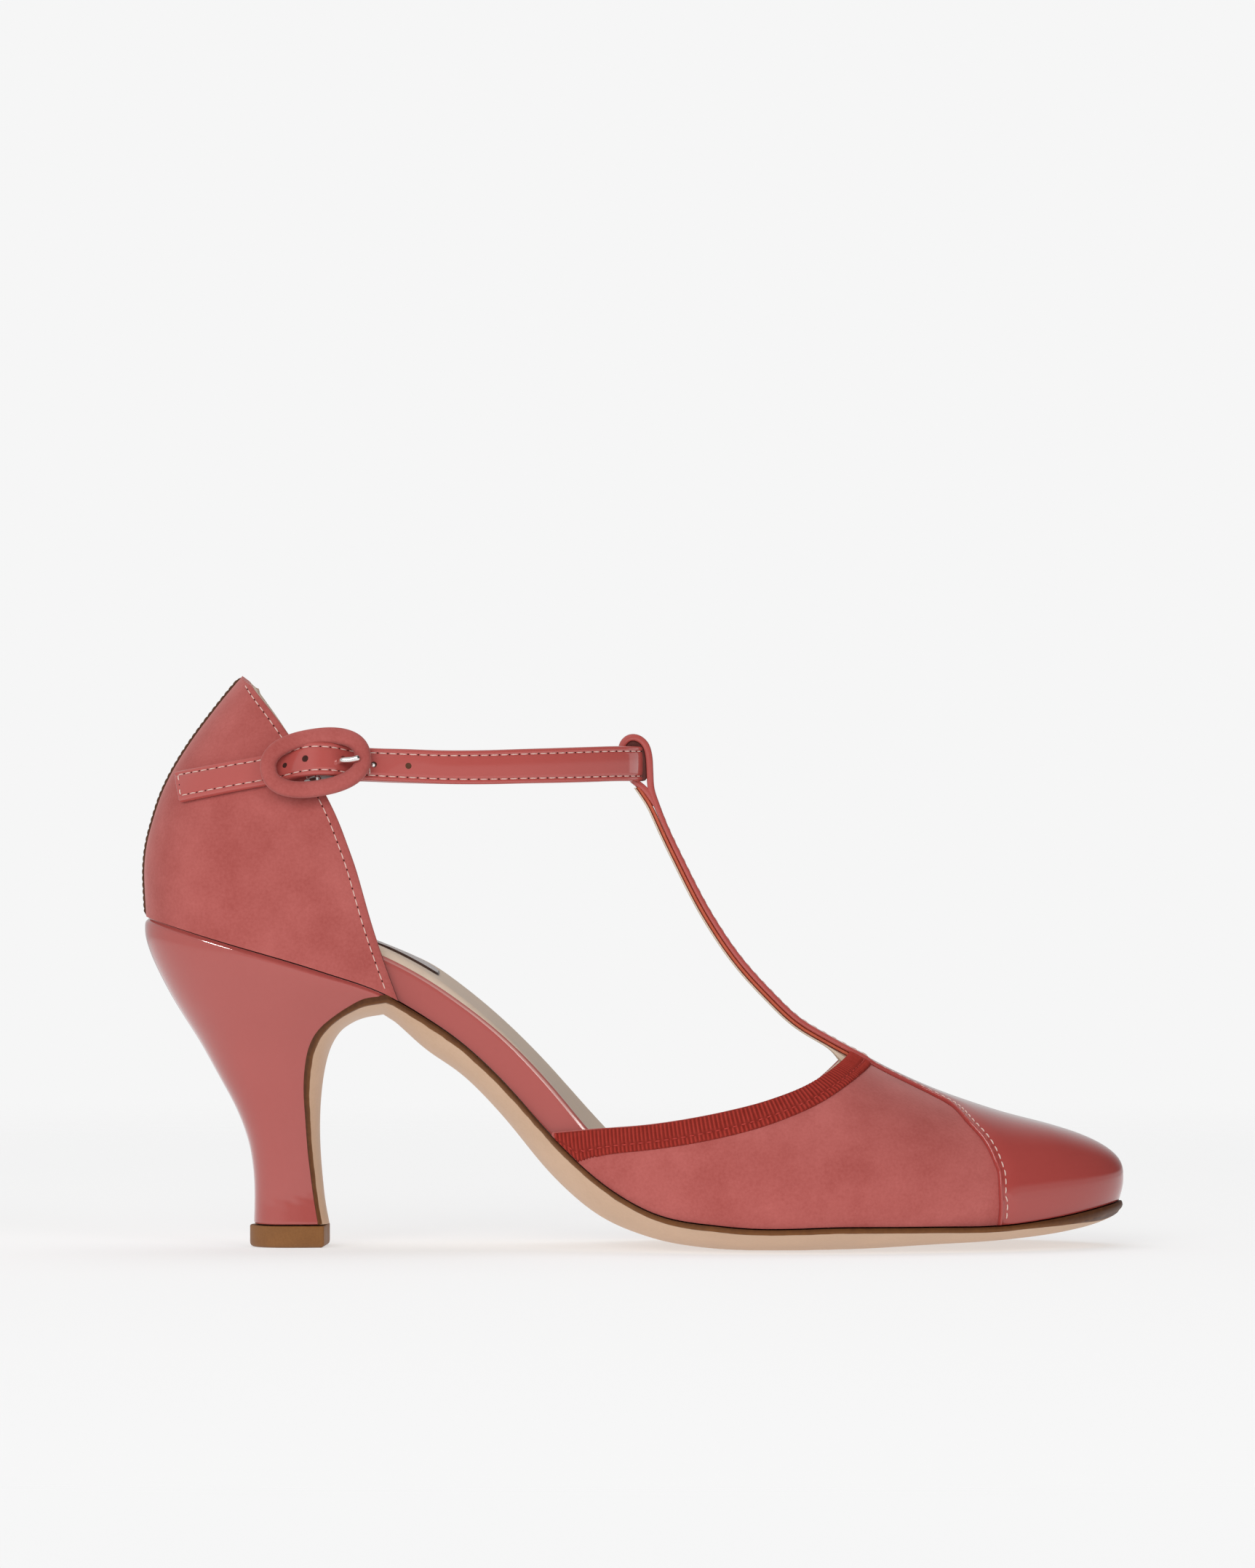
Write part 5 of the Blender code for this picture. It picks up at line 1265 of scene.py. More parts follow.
def buildOutsole():
    # flap and body in one run from the lift to the toe, joined by bulging edges; the crown is one minus a power
    # of the place across, and fromEdge marks the distance in from the edge, less the spread of the stain
    f = soleForm
    shares = (1 - np.cos(np.linspace(0, np.pi, f["across"]))) / 2
    middle = np.abs(2 * shares - 1)
    crown = 1 - middle ** f["crownPower"]
    row = np.linspace(heelIndex[-1], 0.0, f["flapRows"])
    x = shoeStations(lastForm["seatFront"] + f["seatRoom"], tipX, f["stations"])
    toe = easeStep(ramp(x, f["toeFrom"], f["toeRun"]))
    flap, body = soleFlap(row, shares, crown), soleBody(x, toe, shares, crown)
    upper, lower = (np.concatenate(grids) for grids in zip(flap, body))
    toe = np.concatenate([np.zeros(len(row)), toe])
    halfWidth = np.linalg.norm(upper[:, -1, :2] - upper[:, 0, :2], axis=1) / 2
    waist = ramp(f["waistFrom"], upper[:, 0, 0], f["waistRun"])
    stain = f["waistStain"] * waist + f["toeStain"] * toe
    fromEdge = (1 - middle)[None, :] * halfWidth[:, None] * f["markScale"] - stain[:, None]
    fromTip = ramp(lower[:, :, 0], f["tipFrom"], f["tipRun"])
    fromEdge = fromEdge - f["tipStain"] * fromTip ** f["tipPower"]
    blocks = [(upper, 0, {"fromEdge": f["topMark"]}), (lower, 0, {"fromEdge": fromEdge})]
    part = np.linspace(0, 1, f["edgeRows"])
    bulge = f["edgeBulge"] + (f["toeBulge"] - f["edgeBulge"]) * toe
    for index, side in ((0, outer), (-1, inner)):
        a, b = upper[:, index], lower[:, index]
        normal = np.column_stack([edgeLine(x, side, 0.0)[1], np.zeros(len(x))])
        away = np.concatenate([np.tile((0.0, side, 0.0), (len(row), 1)), normal])
        rows = a[None] + (b - a)[None] * part[:, None, None]
        rows = rows + away[None] * (bulge[None] * np.sin(np.pi * part)[:, None])[:, :, None]
        tall = np.linalg.norm(b - a, axis=1)
        blocks.append((rows, 0, {"fromEdge": -(1 - part)[:, None] * tall[None] - stain[None]}))
    blocks.append((capBetween(upper[0], lower[0]), 0, {"fromEdge": f["endMark"]}))
    addPiece("outsoleLeather", blocks, [finish["sole"]], ["outsole"])


buildOutsole()
print("outsole done")

# straps: flat patent bands with rounded edges and a stitch groove inside each edge
strapSection = {
    # distance from the edge, outer height and inner depth as shares of half the thickness
    "profile": [(0.0, 0.0, 0.0), (0.04, 0.38, -0.45), (0.11, 0.62, -0.78), (0.22, 0.82, -0.97), (0.36, 0.95, -1.0),
                (0.52, 1.02, -1.0), (0.72, 1.04, -1.0), (0.92, 0.97, -1.0), (1.08, 0.84, -1.0), (1.22, 0.78, -1.0),
                (1.36, 0.84, -1.0), (1.54, 0.97, -1.0), (1.8, 1.04, -1.0)],
    "middle": 9, "crown": 0.07, "endRun": 0.6, "endSize": 0.2,
    # heights of the stitch groove, of a row of stitches across and of the crest, as the same shares
    "groove": 0.80, "rowUp": 1.05, "crest": 1.11,
}


def bandGrids(middle, across, normal, half, thick):
    # band along a line: half width across, outer and inner heights from the edge profile, crowned in the middle
    # and thinned to both ends by a quarter round; gives both faces and the distance across
    f = strapSection
    distance, up, down = np.array(f["profile"]).T
    rest = np.linspace(0, 1, f["middle"] + 1)[1:]
    inside = distance[-1] + (half[:, None] - distance[-1]) * rest
    distance = np.concatenate([np.broadcast_to(distance, (len(middle), len(distance))), inside], 1)
    up = np.concatenate([up, up[-1] + f["crown"] * np.sin(rest * np.pi / 2)])
    down = np.concatenate([down, np.full(len(rest), down[-1])])
    offset = half[:, None] - distance
    offset = np.concatenate([-offset, offset[:, -2::-1]], 1)
    run = runLength(middle)
    ease = quarterRound(np.clip(np.minimum(run, run[-1] - run) / f["endRun"], 0, 1))
    ease = ease * (1 - f["endSize"]) + f["endSize"]
    base = middle[:, None] + across[:, None] * offset[:, :, None]
    size = (thick / 2 * ease)[:, None, None]
    faces = [np.concatenate([heights, heights[-2::-1]]) for heights in (up, down)]
    top, low = (base + normal[:, None] * size * heights[None, :, None] for heights in faces)
    return top, low, offset


def bandBlocks(top, low):
    # both faces of a band and its ends; its edges meet by themselves
    return [(top, 0), (low, 0)] + endCaps(top, low)


# ankle strap: its free end on the outer side of the counter, through the buckle, round the ankle
ankleForm = {
    "thick": 1.8, "half": 4.15, "step": 0.5, "endSteps": 8, "blur": 0.9, "outerRun": 60.0,
    "slant": -0.24, "slantRun": 6.0,  # cut of the free end
    # stitches along both edges, and in rows across near the ends and beside the buckle
    "stitchIn": 1.2, "stitchEnds": 6, "rowX": 53.9, "rowIn": 1.6, "rowSamples": 30,
    "stitch": {"pitch": 2.35, "length": 1.7, "width": 0.27, "height": 0.24, "start": 0.8, "end": 0.8},
    "rowStitch": {"pitch": 2.1, "length": 1.6, "width": 0.30, "start": 0.2, "end": 0.2},
    # x, distance from the counter, height, half width
    "outerLay": [
        (10.2, 1.3, 107.2, 3.5), (13.0, 1.3, 107.8, 3.5), (17.0, 1.3, 108.6, 3.5), (23.0, 1.3, 109.8, 3.5),
        (29.0, 1.3, 110.9, 3.5), (33.0, 1.4, 111.8, 3.6), (35.4, 2.1, 112.5, 3.7), (38.0, 3.7, 113.3, 3.85),
        (40.4, 4.9, 113.75, 3.9), (42.6, 5.0, 113.85, 3.85), (45.0, 4.6, 113.7, 3.8), (47.4, 2.9, 113.3, 3.75),
        (50.0, 1.5, 112.8, 3.75), (55.0, 1.3, 112.45, 3.8),
    ],
    "innerLay": [(40.0, 1.3, 112.3, 4.1), (34.0, 1.3, 111.8, 4.0), (28.0, 1.3, 110.8, 4.0),
                 (22.0, 1.3, 109.6, 4.0), (17.0, 1.3, 108.6, 4.0)],
    # x, y, height and half width where it spans freely
    "span": [
        (61.0, -23.7, 112.25, 3.85), (71.0, -23.5, 111.85, 3.91), (81.0, -22.4, 111.85, 3.97),
        (90.0, -20.2, 112.1, 4.02), (98.0, -16.8, 112.3, 4.07), (104.5, -12.9, 112.5, 4.10),
        (110.4, -8.3, 112.7, 4.10), (114.9, -3.2, 112.7, 4.10), (117.0, 2.5, 112.7, 4.10),
        (115.3, 8.3, 112.7, 4.10), (110.8, 13.2, 112.7, 4.10), (105.0, 17.6, 112.5, 4.10),
        (98.0, 21.0, 112.3, 4.07), (89.0, 23.8, 112.1, 4.01), (79.0, 25.3, 111.85, 3.95),
        (69.0, 25.6, 111.85, 3.90), (58.0, 25.0, 112.1, 3.85), (48.0, 24.2, 112.4, 3.85),
    ],
    # holes: x, distance above the middle, radius, number of the finish; finish 0 is painted shade inside the hole
    "holes": [(34.6, -0.3, 0.55, 0), (39.4, 0.0, 0.72, 0), (47.3, 0.15, 0.78, 0), (55.1, -0.1, 0.62, 0),
              (62.7, 0.0, 0.66, 1)],
    # size and height of the rings of a hole
    "holeRings": [(0.0, 0.05), (0.6, 0.06), (0.85, 0.08), (1.0, 0.07), (1.08, 0.0), (1.08, -0.3), (0.0, -0.5)],
    # bright rivet head in one hole, moved along and across
    "rivetHole": 3, "rivetRadius": 0.5, "rivetFlat": 0.6, "rivetMove": (-0.16, -0.12),
}


def layEdges(rows, side):
    # lower and upper edge where the strap lies on the counter, moved out along the counter's own direction
    rows = np.array(rows)
    near = counterY(rows[:, 0] + 0.5, rows[:, 2], side) - counterY(rows[:, 0] - 0.5, rows[:, 2], side)
    turn = unit(np.stack([near, -np.ones(len(rows))], 1))
    edges = []
    for sign in (-1, 1):
        z = rows[:, 2] + sign * rows[:, 3]
        y = counterY(rows[:, 0], z, side) + side * np.abs(turn[:, 1]) * rows[:, 1]
        edges.append(np.stack([rows[:, 0] - np.abs(turn[:, 0]) * rows[:, 1], y, z], 1))
    return np.concatenate(edges, 1)


def ankleLine():
    # both edges of the strap on smooth curves over the length of its middle
    free = np.array(ankleForm["span"])
    up = free[:, 3:] * (0.0, 0.0, 1.0)
    spanEdges = np.concatenate([free[:, :3] - up, free[:, :3] + up], 1)
    onOuter, onInner = layEdges(ankleForm["outerLay"], outer), layEdges(ankleForm["innerLay"], inner)
    knots = np.concatenate([onOuter, spanEdges, onInner])
    run = runLength((knots[:, :3] + knots[:, 3:]) / 2)
    ends = np.linspace(0, 1.0, ankleForm["endSteps"])
    place = np.unique(np.concatenate([np.arange(0, run[-1], ankleForm["step"]), ends, run[-1] - ends]))
    edges = np.stack([tableCurve(run, column, ankleForm["blur"])(place) for column in knots.T], 1)
    middle = (edges[:, :3] + edges[:, 3:]) / 2
    across = unit(edges[:, 3:] - edges[:, :3])
    half = np.linalg.norm(edges[:, 3:] - edges[:, :3], axis=1) / 2
    normal = unit(np.cross(unit(np.gradient(middle, place, axis=0)), across))
    return place, middle, across, normal, half


def bandRun(middle, across, normal, offset, up):
    # line on a band at a signed distance across and a height
    return middle + across * offset[:, None] + normal * up


def buildAnkleStrap():
    # band along the ankle line whose free end is shifted along by the distance across, with its stitches,
    # holes as rings round their middles, and a rivet as a flattened ball
    f = ankleForm
    place, middle, across, normal, half = ankleLine()
    ahead = unit(np.gradient(middle, place, axis=0))
    slant = f["slant"] * np.clip(1 - place / f["slantRun"], 0, 1)
    top, low, offset = bandGrids(middle, across, normal, half, f["thick"])
    shift = (slant[:, None] * offset)[:, :, None] * ahead[:, None]
    blocks = bandBlocks(top + shift, low + shift)
    addPiece("ankleStrapPatent", blocks, [finish["patent"]], ["ankle_strap"])

    def nearOuter(x):
        # number of the point nearest to x on the outer run
        return np.argmin(np.where(place < f["outerRun"], np.abs(middle[:, 0] - x), np.inf))

    runs = []
    groove, rowUp, crest = (f["thick"] / 2 * strapSection[key] for key in ("groove", "rowUp", "crest"))
    ends = slice(f["stitchEnds"], -f["stitchEnds"])
    for sign in (-1, 1):
        aside = sign * (half - f["stitchIn"])
        path = bandRun(middle, across, normal, aside, groove) + ahead * (slant * aside)[:, None]
        runs.append(stitchPair(path[ends], normal[ends], **f["stitch"]))
    firstRow, lastRow = (np.argmin(np.abs(place - at)) for at in (f["rowIn"], place[-1] - f["rowIn"]))
    for index in (firstRow, nearOuter(f["rowX"]), lastRow):
        span = np.linspace(-1, 1, f["rowSamples"]) * (half[index] - f["stitchIn"])
        aside = across[index] + slant[index] * ahead[index]
        row = middle[index] + span[:, None] * aside + normal[index] * rowUp
        runs.append(stitchPair(row, np.tile(normal[index], (f["rowSamples"], 1)), **f["rowStitch"]))
    addStitchPairs("ankleStrap", runs)

    turn = fullTurn(21)[:, None]
    holes = []
    for number, (x, above, radius, tone) in enumerate(f["holes"]):
        index = nearOuter(x)
        up = normal[index]
        centre = middle[index] + across[index] * above + up * crest
        ring = np.cos(turn) * ahead[index] + np.sin(turn) * across[index]
        rings = [centre + ring * radius * size + up * height for size, height in f["holeRings"]]
        holes.append((np.stack(rings), tone))
        if number == f["rivetHole"]:
            centre = centre + ahead[index] * f["rivetMove"][0] + across[index] * f["rivetMove"][1]
            bend = np.linspace(0, np.pi, 12)[:, None, None]
            rivet = centre + f["rivetRadius"] * (ring * np.sin(bend) + up * np.cos(bend) * f["rivetFlat"])
    addPiece("ankleStrapHoles", holes, [finish["paintedHoleShade"], finish["brownThread"]])
    addPiece("strapRivet", [(rivet, 0)], [finish["dullSteel"]])


buildAnkleStrap()
print("ankle strap done")

# T strap: from the throat up the instep, folded round the ankle strap
instepForm = {
    "layer": 1.2, "loopLayer": 1.55, "growFrom": 96.0, "growRun": 12.0, "step": 0.45, "blur": 0.8,
    "foldRun": 4.0, "foldLeast": 0.35, "throatRun": 6.0, "throatLeast": 0.3,  # both ends are skived thin
    # dyed edge ply and lining: start, top, thickness, flare at the throat, gap for the folded end, bowed sides
    "edgeThick": 0.95, "plyFrom": 7.2, "endZ": 107.6, "lining": 1.45, "liningLeast": 0.3, "liningTrim": 0.12,
    "flare": 1.7, "flareRun": 3.2, "apart": 2.3, "apartRun": 2.4, "plyColumns": 25, "bow": 0.5, "bowPower": 12,
    "loopShade": 1.7, "loopShadeZ": 108.6, "loopShadeTrim": 0.3, "loopShadeSink": 0.05,  # painted shade: dark ply standing for the shade inside the loop
    "stitchIn": 1.25, "stitchFirst": 5, "stitchShare": 0.80,
    "stitch": {"pitch": 2.6, "length": 2.0, "width": 0.36, "height": 0.32},
    # x, z, half width
    "line": [
        (172.0, 42.35, 6.0), (168.6, 44.25, 6.2), (165.0, 46.1, 6.2), (160.4, 48.6, 5.6), (153.6, 52.7, 5.0),
        (146.7, 59.2, 4.7), (139.8, 66.9, 4.5), (133.0, 76.9, 4.5), (126.2, 89.8, 4.5), (121.8, 99.2, 4.5),
        (120.2, 103.2, 4.5), (119.0, 106.6, 4.5), (118.7, 110.8, 4.5), (118.45, 114.6, 4.5),
        (117.7, 117.2, 4.5), (116.0, 118.7, 4.5), (114.0, 118.9, 4.5), (112.4, 117.5, 4.5), (112.2, 114.2, 4.5),
        (113.2, 110.9, 4.5), (115.0, 108.7, 4.5), (117.0, 107.2, 4.5), (118.4, 105.7, 4.5), (119.3, 104.0, 4.5),
        (120.0, 102.2, 4.5),
    ],
}


def instepLine():
    # middle of the patent layer by length, with its direction and outward normal in the upright plane
    knots = np.array(instepForm["line"])
    run = runLength(knots[:, :2])
    place = np.arange(0, run[-1] + 0.01, instepForm["step"])
    x, z, half = (tableCurve(run, column, instepForm["blur"])(place) for column in knots.T)
    middle = np.stack([x, np.full_like(x, ridgeY), z], 1)
    ahead = unit(np.gradient(middle, place, axis=0))
    normal = np.stack([ahead[:, 2], np.zeros_like(x), -ahead[:, 0]], 1)
    return place, middle, np.broadcast_to(np.array([0.0, -1.0, 0.0]), middle.shape), normal, half


def buildTStrap():
    # patent band along the instep line, thicker towards the loop and thin at both ends
    f = instepForm
    place, middle, across, normal, half = instepLine()
    grow = easeStep(ramp(middle[:, 2], f["growFrom"], f["growRun"]))
    layer = f["layer"] + (f["loopLayer"] - f["layer"]) * grow
    layer = layer * np.clip((place[-1] - place) / f["foldRun"] + f["foldLeast"], 0, 1)
    layer = layer * np.clip(place / f["throatRun"] + f["throatLeast"], 0, 1)
    top, low, _ = bandGrids(middle, across, normal, half, layer)
    addPiece("tStrapPatent", bandBlocks(top, low), [finish["patent"]], ["t_strap"])
    # the plies run up to just under the ankle strap, standing off there for the folded end
    last, first = int(np.argmax(middle[:, 2] > f["endZ"])), int(np.argmin(np.abs(place - f["plyFrom"])))
    pick, thick = slice(first, last), f["edgeThick"]
    apart = f["apart"] * np.exp(-np.maximum(place[last] - place, 0) / f["apartRun"])
    lining = f["lining"] + f["flare"] * bell(np.maximum(place - place[first], 0), f["flareRun"])
    lining = np.maximum(lining, thick + f["liningLeast"])
    columns = np.linspace(-1, 1, f["plyColumns"])
    bow = 1 - f["bow"] * np.abs(columns) ** f["bowPower"]
    plies = (("tStrapEdge", 0.0, np.full(len(place), thick), 0.0, "dyedEdge"),
             ("tStrapLining", thick, lining, f["liningTrim"], "lining"))
    for name, near, end, trim, look in plies:
        centre = middle - normal * (f["layer"] / 2 + apart + (near + end) / 2)[:, None]
        base = centre[pick, None] + across[pick, None] * ((half[pick] - trim)[:, None] * columns)[:, :, None]
        size = ((end - near)[pick, None] / 2 * bow)[:, :, None]
        face, back = base + normal[pick, None] * size, base - normal[pick, None] * size
        addPiece(name, slabBlocks(face, back), [finish[look]])
    # painted shade: dark ply that fills the loop down to the ankle strap, standing for the shade inside it
    loop = np.nonzero(middle[:, 2] > f["loopShadeZ"])[0]
    inside = middle[loop] - normal[loop] * (layer[loop] / 2 + f["loopShade"] / 2 - f["loopShadeSink"])[:, None]
    top, low, _ = bandGrids(inside, across[loop], normal[loop], half[loop] - f["loopShadeTrim"], f["loopShade"])
    addPiece("tStrapKeeper", bandBlocks(top, low), [finish["paintedShadeDark"]])
    runs = []
    stitched = slice(f["stitchFirst"], int(np.argmin(np.abs(place - place[-1] * f["stitchShare"]))))
    groove = f["layer"] / 2 * strapSection["groove"]
    for sign in (-1, 1):
        path = bandRun(middle, across, normal, sign * (half - f["stitchIn"]), groove)
        runs.append(stitchRun(path[stitched], normal[stitched], **f["stitch"]))
    addStitches("tStrapStitches", runs, finish["pinkThread"])


buildTStrap()
print("T strap done")

# buckle: oval frame covered in suede, steel bar and prong
buckleForm = {
    "x": 41.6, "z": 112.9, "tilt": math.radians(9.5), "long": 25.8, "short": 15.9, "band": 3.8, "thick": 3.2,
    "gap": 0.7, "square": 2.35, "sectionPower": 0.8, "around": 181, "sectionPoints": 37,
    "barRadius": 0.8, "barShort": 0.1,
    # prong: along, out and up between its root beside the bar and its tip on the frame
    "prongRadius": 0.72, "prongRootUp": 0.4, "prongTipBack": 0.75, "prongTipIn": 0.15, "prongTipUp": -1.0,
    "prongMiddle": [(4.7, -1.7, 0.0), (5.5, -0.2, -0.45), (6.1, 1.0, -0.65), (8.4, 1.75, -1.0)],
    "prongBlur": 0.25, "prongPoints": 60, "prongRound": 0.5,
    # foot plate of the bar and its slot: middle along and up, half length, half height, thickness, place outwards
    "foot": (0.9, -3.55, 4.2, 0.85, 0.6, -1.5), "slot": (-1.2, -3.5, 0.9, 0.34, 0.3, -1.15),
    "plateRings": [(0.0, -0.5), (0.9, -0.5), (1.0, -0.2), (1.0, 0.2), (0.9, 0.5), (0.5, 0.5), (0.0, 0.5)],
}


def turnAbout(axis, angle):
    # turn about one axis as a square of sines and cosines
    c, s = math.cos(angle), math.sin(angle)
    grids = {"x": [[1, 0, 0], [0, c, -s], [0, s, c]], "y": [[c, 0, s], [0, 1, 0], [-s, 0, c]],
             "z": [[c, -s, 0], [s, c, 0], [0, 0, 1]]}
    return np.array(grids[axis])


def onBuckle(along, out, up):
    # place from the buckle's own directions: it lies along the counter surface and tilts with the strap
    f = buckleForm
    halfWide = ankleForm["half"]
    rise = counterY(f["x"], np.array([f["z"] - halfWide, f["z"] + halfWide]), outer)
    run = counterY(np.array([f["x"] - f["long"] / 2, f["x"] + f["long"] / 2]), f["z"], outer)
    lean, yaw = math.atan2(rise[1] - rise[0], 2 * halfWide), math.atan2(run[1] - run[0], f["long"])
    turn = turnAbout("z", yaw) @ turnAbout("x", -lean) @ turnAbout("y", -f["tilt"])
    surface = float(counterY(f["x"], f["z"], outer))
    y = surface - ankleForm["outerLay"][0][1] - ankleForm["thick"] / 2 - f["gap"] - f["thick"] / 2
    local = np.stack(np.broadcast_arrays(along, -np.asarray(out), up), -1).astype(float)
    return local @ turn.T + (f["x"], y, f["z"])


def rodBlocks(line, radius, count=17):
    # round rod along a line, closed at both ends
    line = np.asarray(line, float)
    ahead = unit(np.gradient(line, axis=0))
    side = unit(np.cross(ahead, np.array([0.15, 0.1, 1.0])))
    up = np.cross(side, ahead)
    turn = fullTurn(count)[None, :, None]
    size = np.broadcast_to(radius, len(line))[:, None, None]
    tube = line[:, None] + size * (np.cos(turn) * side[:, None] + np.sin(turn) * up[:, None])
    ends = [np.repeat(line[i][None], count, 0) for i in (0, -1)]
    return [(np.concatenate([ends[0][None], tube, ends[1][None]]), 0)]


def buildBuckle():
    # frame: a rounded section carried round a superellipse; bar and prong are rods, the foot's pieces flat ovals
    f = buckleForm
    turn = fullTurn(f["around"])
    longHalf, shortHalf = (f["long"] - f["band"]) / 2, (f["short"] - f["band"]) / 2
    along, up = (signedPower(wave, 2 / f["square"]) for wave in (np.cos(turn), np.sin(turn)))
    facing = unit(np.stack([along / longHalf, up / shortHalf], 1))
    section = fullTurn(f["sectionPoints"])
    grow = signedPower(np.cos(section), f["sectionPower"]) * f["band"] / 2
    high = signedPower(np.sin(section), f["sectionPower"]) * f["thick"] / 2
    ring = onBuckle((along * longHalf)[:, None] + facing[:, :1] * grow, high[None],
                    (up * shortHalf)[:, None] + facing[:, 1:] * grow)
    addPiece("buckleFrameSuede", [(ring, 0)], [finish["suede"]], ["buckle_frame"])
    reach = shortHalf - f["band"] / 2 - f["barShort"]
    bar = onBuckle(0.0, -f["thick"] / 2, np.linspace(-reach, reach, 30))
    addPiece("buckleBarSteel", rodBlocks(bar, f["barRadius"]), [finish["steel"]], ["buckle_bar"])
    root = (f["barRadius"] + f["prongRadius"] + lastForm["gap"], -f["thick"] / 2, f["prongRootUp"])
    tip = (f["long"] / 2 - f["band"] / 2 - f["prongTipBack"],
           f["thick"] / 2 + lastForm["gap"] + f["prongRadius"] - f["prongTipIn"], f["prongTipUp"])
    knots = np.array([root, *f["prongMiddle"], tip])
    run = runLength(knots)
    place = np.linspace(0, run[-1], f["prongPoints"])
    line = [tableCurve(run, column, f["prongBlur"])(place) for column in knots.T]
    pointed = np.clip((place - run[-1] + f["prongRound"]) / f["prongRound"], 0, 0.97)
    prong = rodBlocks(onBuckle(*line), f["prongRadius"] * np.sqrt(1 - pointed**2))
    addPiece("buckleProngSteel", prong, [finish["steel"]], ["buckle_prong"])
    # the foot plate, and its slot as a dark oval of painted shade
    for name, key, look in (("buckleFootSteel", "foot", "dullSteel"), ("buckleFootSlot", "slot", "paintedHoleShade")):
        mid, height, halfLong, halfHigh, thick, out = f[key]
        size, deep = np.array(f["plateRings"]).T[:, :, None]
        rings = onBuckle(mid + np.cos(turn) * halfLong * size, out + thick * deep,
                         height + np.sin(turn) * halfHigh * size)
        addPiece(name, [(rings, 0)], [finish[look]])


buildBuckle()
print("buckle done")

# studio: pale floor that fades into a pale background, soft light, camera at the photograph's angle
studio = {
    # floor in metres: its disc, how far it lies below the shoe, where it fades
    "floorRadius": 1.6, "floorRings": 24, "floorAround": 129, "floorDrop": 0.00002, "floorTone": 1.12,
    "floorGlow": 0.55, "fadeFrom": 0.35, "fadeTo": 0.95, "background": 0.922,
    # light from above, from the dim side, from below; the dim side by its direction and range
    "sky": 0.75, "front": 0.08, "below": 0.72, "dimAxis": (-0.95, 0.30, 0.0), "dimRange": (-0.6, 0.3),
    "horizon": 0.06,
    # camera place in millimetres, lens and sensor in Blender's units
    "cameraX": -1.175, "cameraDistance": 2000.0, "cameraZ": 107.97, "lens": 196.44, "sensor": 36.0,
    "clipEnd": 50.0,
}


def buildFloor():
    # disc of rings whose surface turns clear with distance from the shoe
    rings, around = studio["floorRings"], studio["floorAround"]
    turn = fullTurn(around)
    radius = studio["floorRadius"] * np.linspace(0, 1, rings)[:, None] ** 1.5
    height = np.full((rings, around), -studio["floorDrop"])
    points = np.stack([radius * np.cos(turn), radius * np.sin(turn), height], 2)
    mesh = bpy.data.meshes.new("floor")
    ids = np.arange(rings * around).reshape(rings, around)
    quads = np.stack([ids[:-1, :-1], ids[1:, :-1], ids[1:, 1:], ids[:-1, 1:]], -1).reshape(-1, 4)
    mesh.from_pydata(points.reshape(-1, 3).tolist(), [], quads.tolist())
    floor = addObject("floor", mesh)
    tone = studio["floorTone"] * (1 - studio["floorGlow"])
    material, tree, surface = newMaterial("paleFloor", {
        "Base Color": (tone, tone, tone, 1), "Roughness": 0.9, "Specular IOR Level": 0.0,
        "Emission Color": (1, 1, 1, 1), "Emission Strength": studio["background"] * studio["floorGlow"]})
    place = addNode(tree, "TexCoord")
    length = addNode(tree, "VectorMath", operation="LENGTH")
    fade = addEasedRange(tree, studio["fadeFrom"], studio["fadeTo"], 1.0, 0.0)
    joinNodes(tree, (place, "Object", length, 0), (length, "Value", fade, "Value"),
              (fade, "Result", surface, "Alpha"))
    mesh.materials.append(material)


def buildWorld():
    # pale all round for the eye; as light it is dimmer above the horizon on the toe's side
    world = bpy.data.worlds.new("studio")
    bpy.context.scene.world = world
    world.use_nodes = True
    tree = world.node_tree
    tree.nodes.clear()
    end = addNode(tree, "OutputWorld")
    place = addNode(tree, "TexCoord")
    axes = addNode(tree, "SeparateXYZ")
    side = addNode(tree, "VectorMath", {1: studio["dimAxis"]}, operation="DOT_PRODUCT")
    front = addEasedRange(tree, *studio["dimRange"], 1.0, 0.0)
    above = addEasedRange(tree, 0.0, studio["horizon"])
    upper = addNode(tree, "Mix", {2: studio["sky"], 3: studio["front"]}, data_type="FLOAT")
    light = addNode(tree, "Mix", {2: studio["below"]}, data_type="FLOAT")
    seen = addNode(tree, "LightPath")
    lightFill = addNode(tree, "Background")
    eyeFill = addNode(tree, "Background", {"Color": (studio["background"],) * 3 + (1,), "Strength": 1.0})
    pick = addNode(tree, "MixShader")
    joinNodes(tree, (place, "Generated", axes, 0), (place, "Generated", side, 0), (side, "Value", front, "Value"),
              (axes, "Z", above, "Value"), (front, "Result", upper, 0), (above, "Result", light, 0),
              (upper, 0, light, 3), (light, 0, lightFill, "Strength"), (seen, "Is Camera Ray", pick, 0),
              (lightFill, 0, pick, 1), (eyeFill, 0, pick, 2), (pick, 0, end, "Surface"))


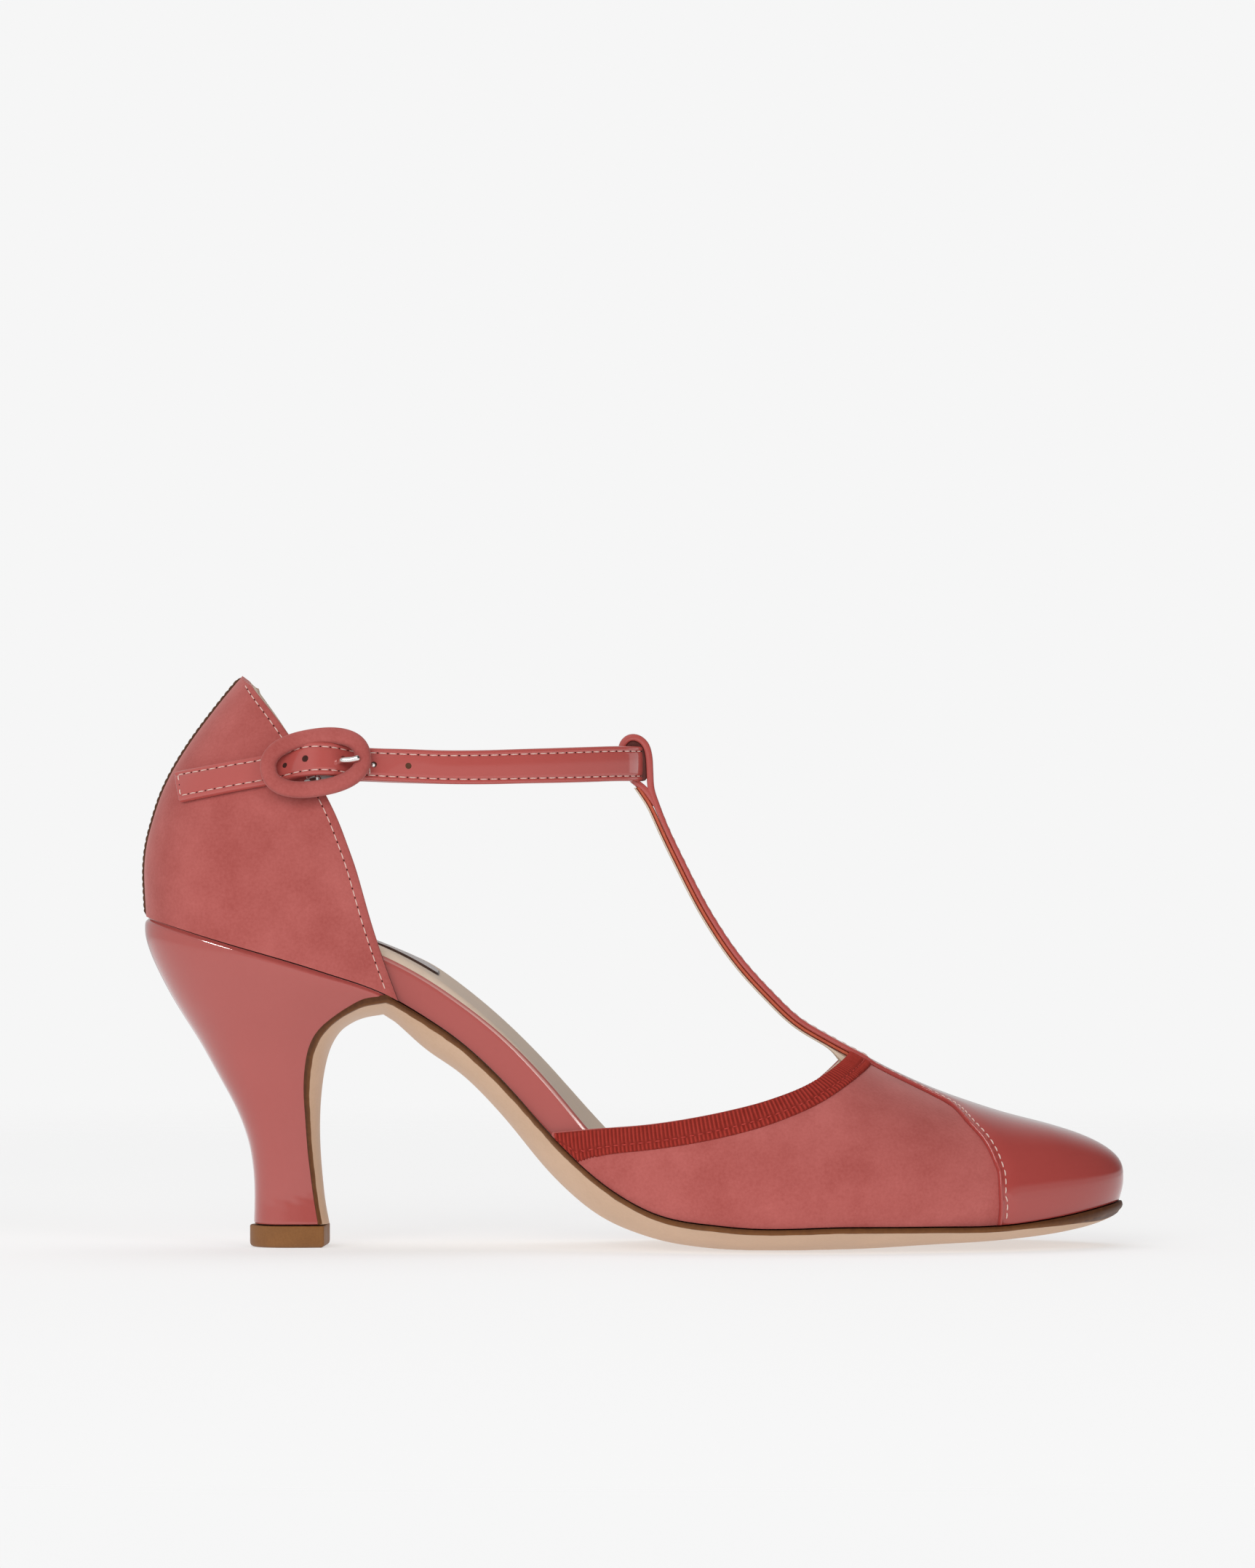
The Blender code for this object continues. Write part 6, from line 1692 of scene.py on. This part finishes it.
# lamps: place, aim and size in metres, power in watts; some stay out of mirror images, show only in them,
# or light one piece
lamps = {
    "topSoftbox": {"place": (0.0, 0.5, 1.5), "size": (1.4, 1.0), "power": 7.0, "mirrored": False},
    "frontFill": {"place": (-0.7, -2.6, 1.0), "size": (1.8, 1.6), "power": 35.0, "mirrored": False},
    "toeFill": {"place": (1.3, -2.0, 1.1), "size": (1.2, 1.2), "power": 11.0, "mirrored": False},
    "heelSpark": {"place": (-0.36, -0.51, 1.39), "size": (0.42, 0.3), "power": 22.0,
                  "only": "heelPatent", "glintOnly": True},
    "edgeStrip": {"place": (1.0, -0.2, 1.25), "aim": (-0.03, 0.0, 0.05), "size": (1.0, 0.12), "power": 2.8,
                  "only": "insoleWrap"},
    "strapStrip": {"place": (1.17, 0.88, 0.35), "aim": (0.0, 0.0, 0.08), "size": (1.7, 0.8), "power": 3.6,
                   "only": "ankleStrapPatent"},
    "metalKey": {"place": (-0.75, -1.4, 0.5), "aim": (-0.07, -0.03, 0.11), "size": (1.3, 0.5), "power": 12.0,
                 "only": "buckleProngSteel"},
    "capGlint": {"place": (-1.5, -0.25, 0.35), "aim": (0.07, -0.02, 0.03), "size": (1.7, 1.2), "power": 30.0,
                 "only": "toeCapPatent", "glintOnly": True},
    "rivetKey": {"place": (0.35, -1.5, 0.4), "aim": (-0.06, -0.03, 0.11), "size": (0.7, 0.5), "power": 10.0,
                 "only": "strapRivet"},
}


def addSoftbox(name, place, size, power, aim=(0.0, 0.0, 0.05), mirrored=True, only=None, glintOnly=False):
    # rectangle of light turned from straight down to face a point
    light = bpy.data.lights.new(name, "AREA")
    light.shape = "RECTANGLE"
    light.size, light.size_y = size
    light.energy = power
    lamp = addObject(name, light)
    lamp.location = place
    lamp.visible_glossy, lamp.visible_diffuse = mirrored, not glintOnly
    if only:
        lit = bpy.data.collections.new(name)
        lit.objects.link(bpy.data.objects[only])
        lamp.light_linking.receiver_collection = lit
    away = np.array(place) - np.array(aim)
    lamp.rotation_euler = (math.atan2(math.hypot(away[0], away[1]), away[2]), 0, math.atan2(away[0], -away[1]))


def buildCamera():
    # level camera square to the shoe's outer side
    view = bpy.data.cameras.new("camera")
    view.lens, view.sensor_width, view.clip_end = studio["lens"], studio["sensor"], studio["clipEnd"]
    eye = addObject("camera", view)
    eye.location = (studio["cameraX"] * mm, -studio["cameraDistance"] * mm, studio["cameraZ"] * mm)
    eye.rotation_euler = (math.pi / 2, 0, 0)
    bpy.context.scene.camera = eye


buildFloor()
buildWorld()
for lampName, lampForm in lamps.items():
    addSoftbox(lampName, **lampForm)
buildCamera()
bpy.context.scene.view_settings.view_transform = "Standard"
print("studio done")
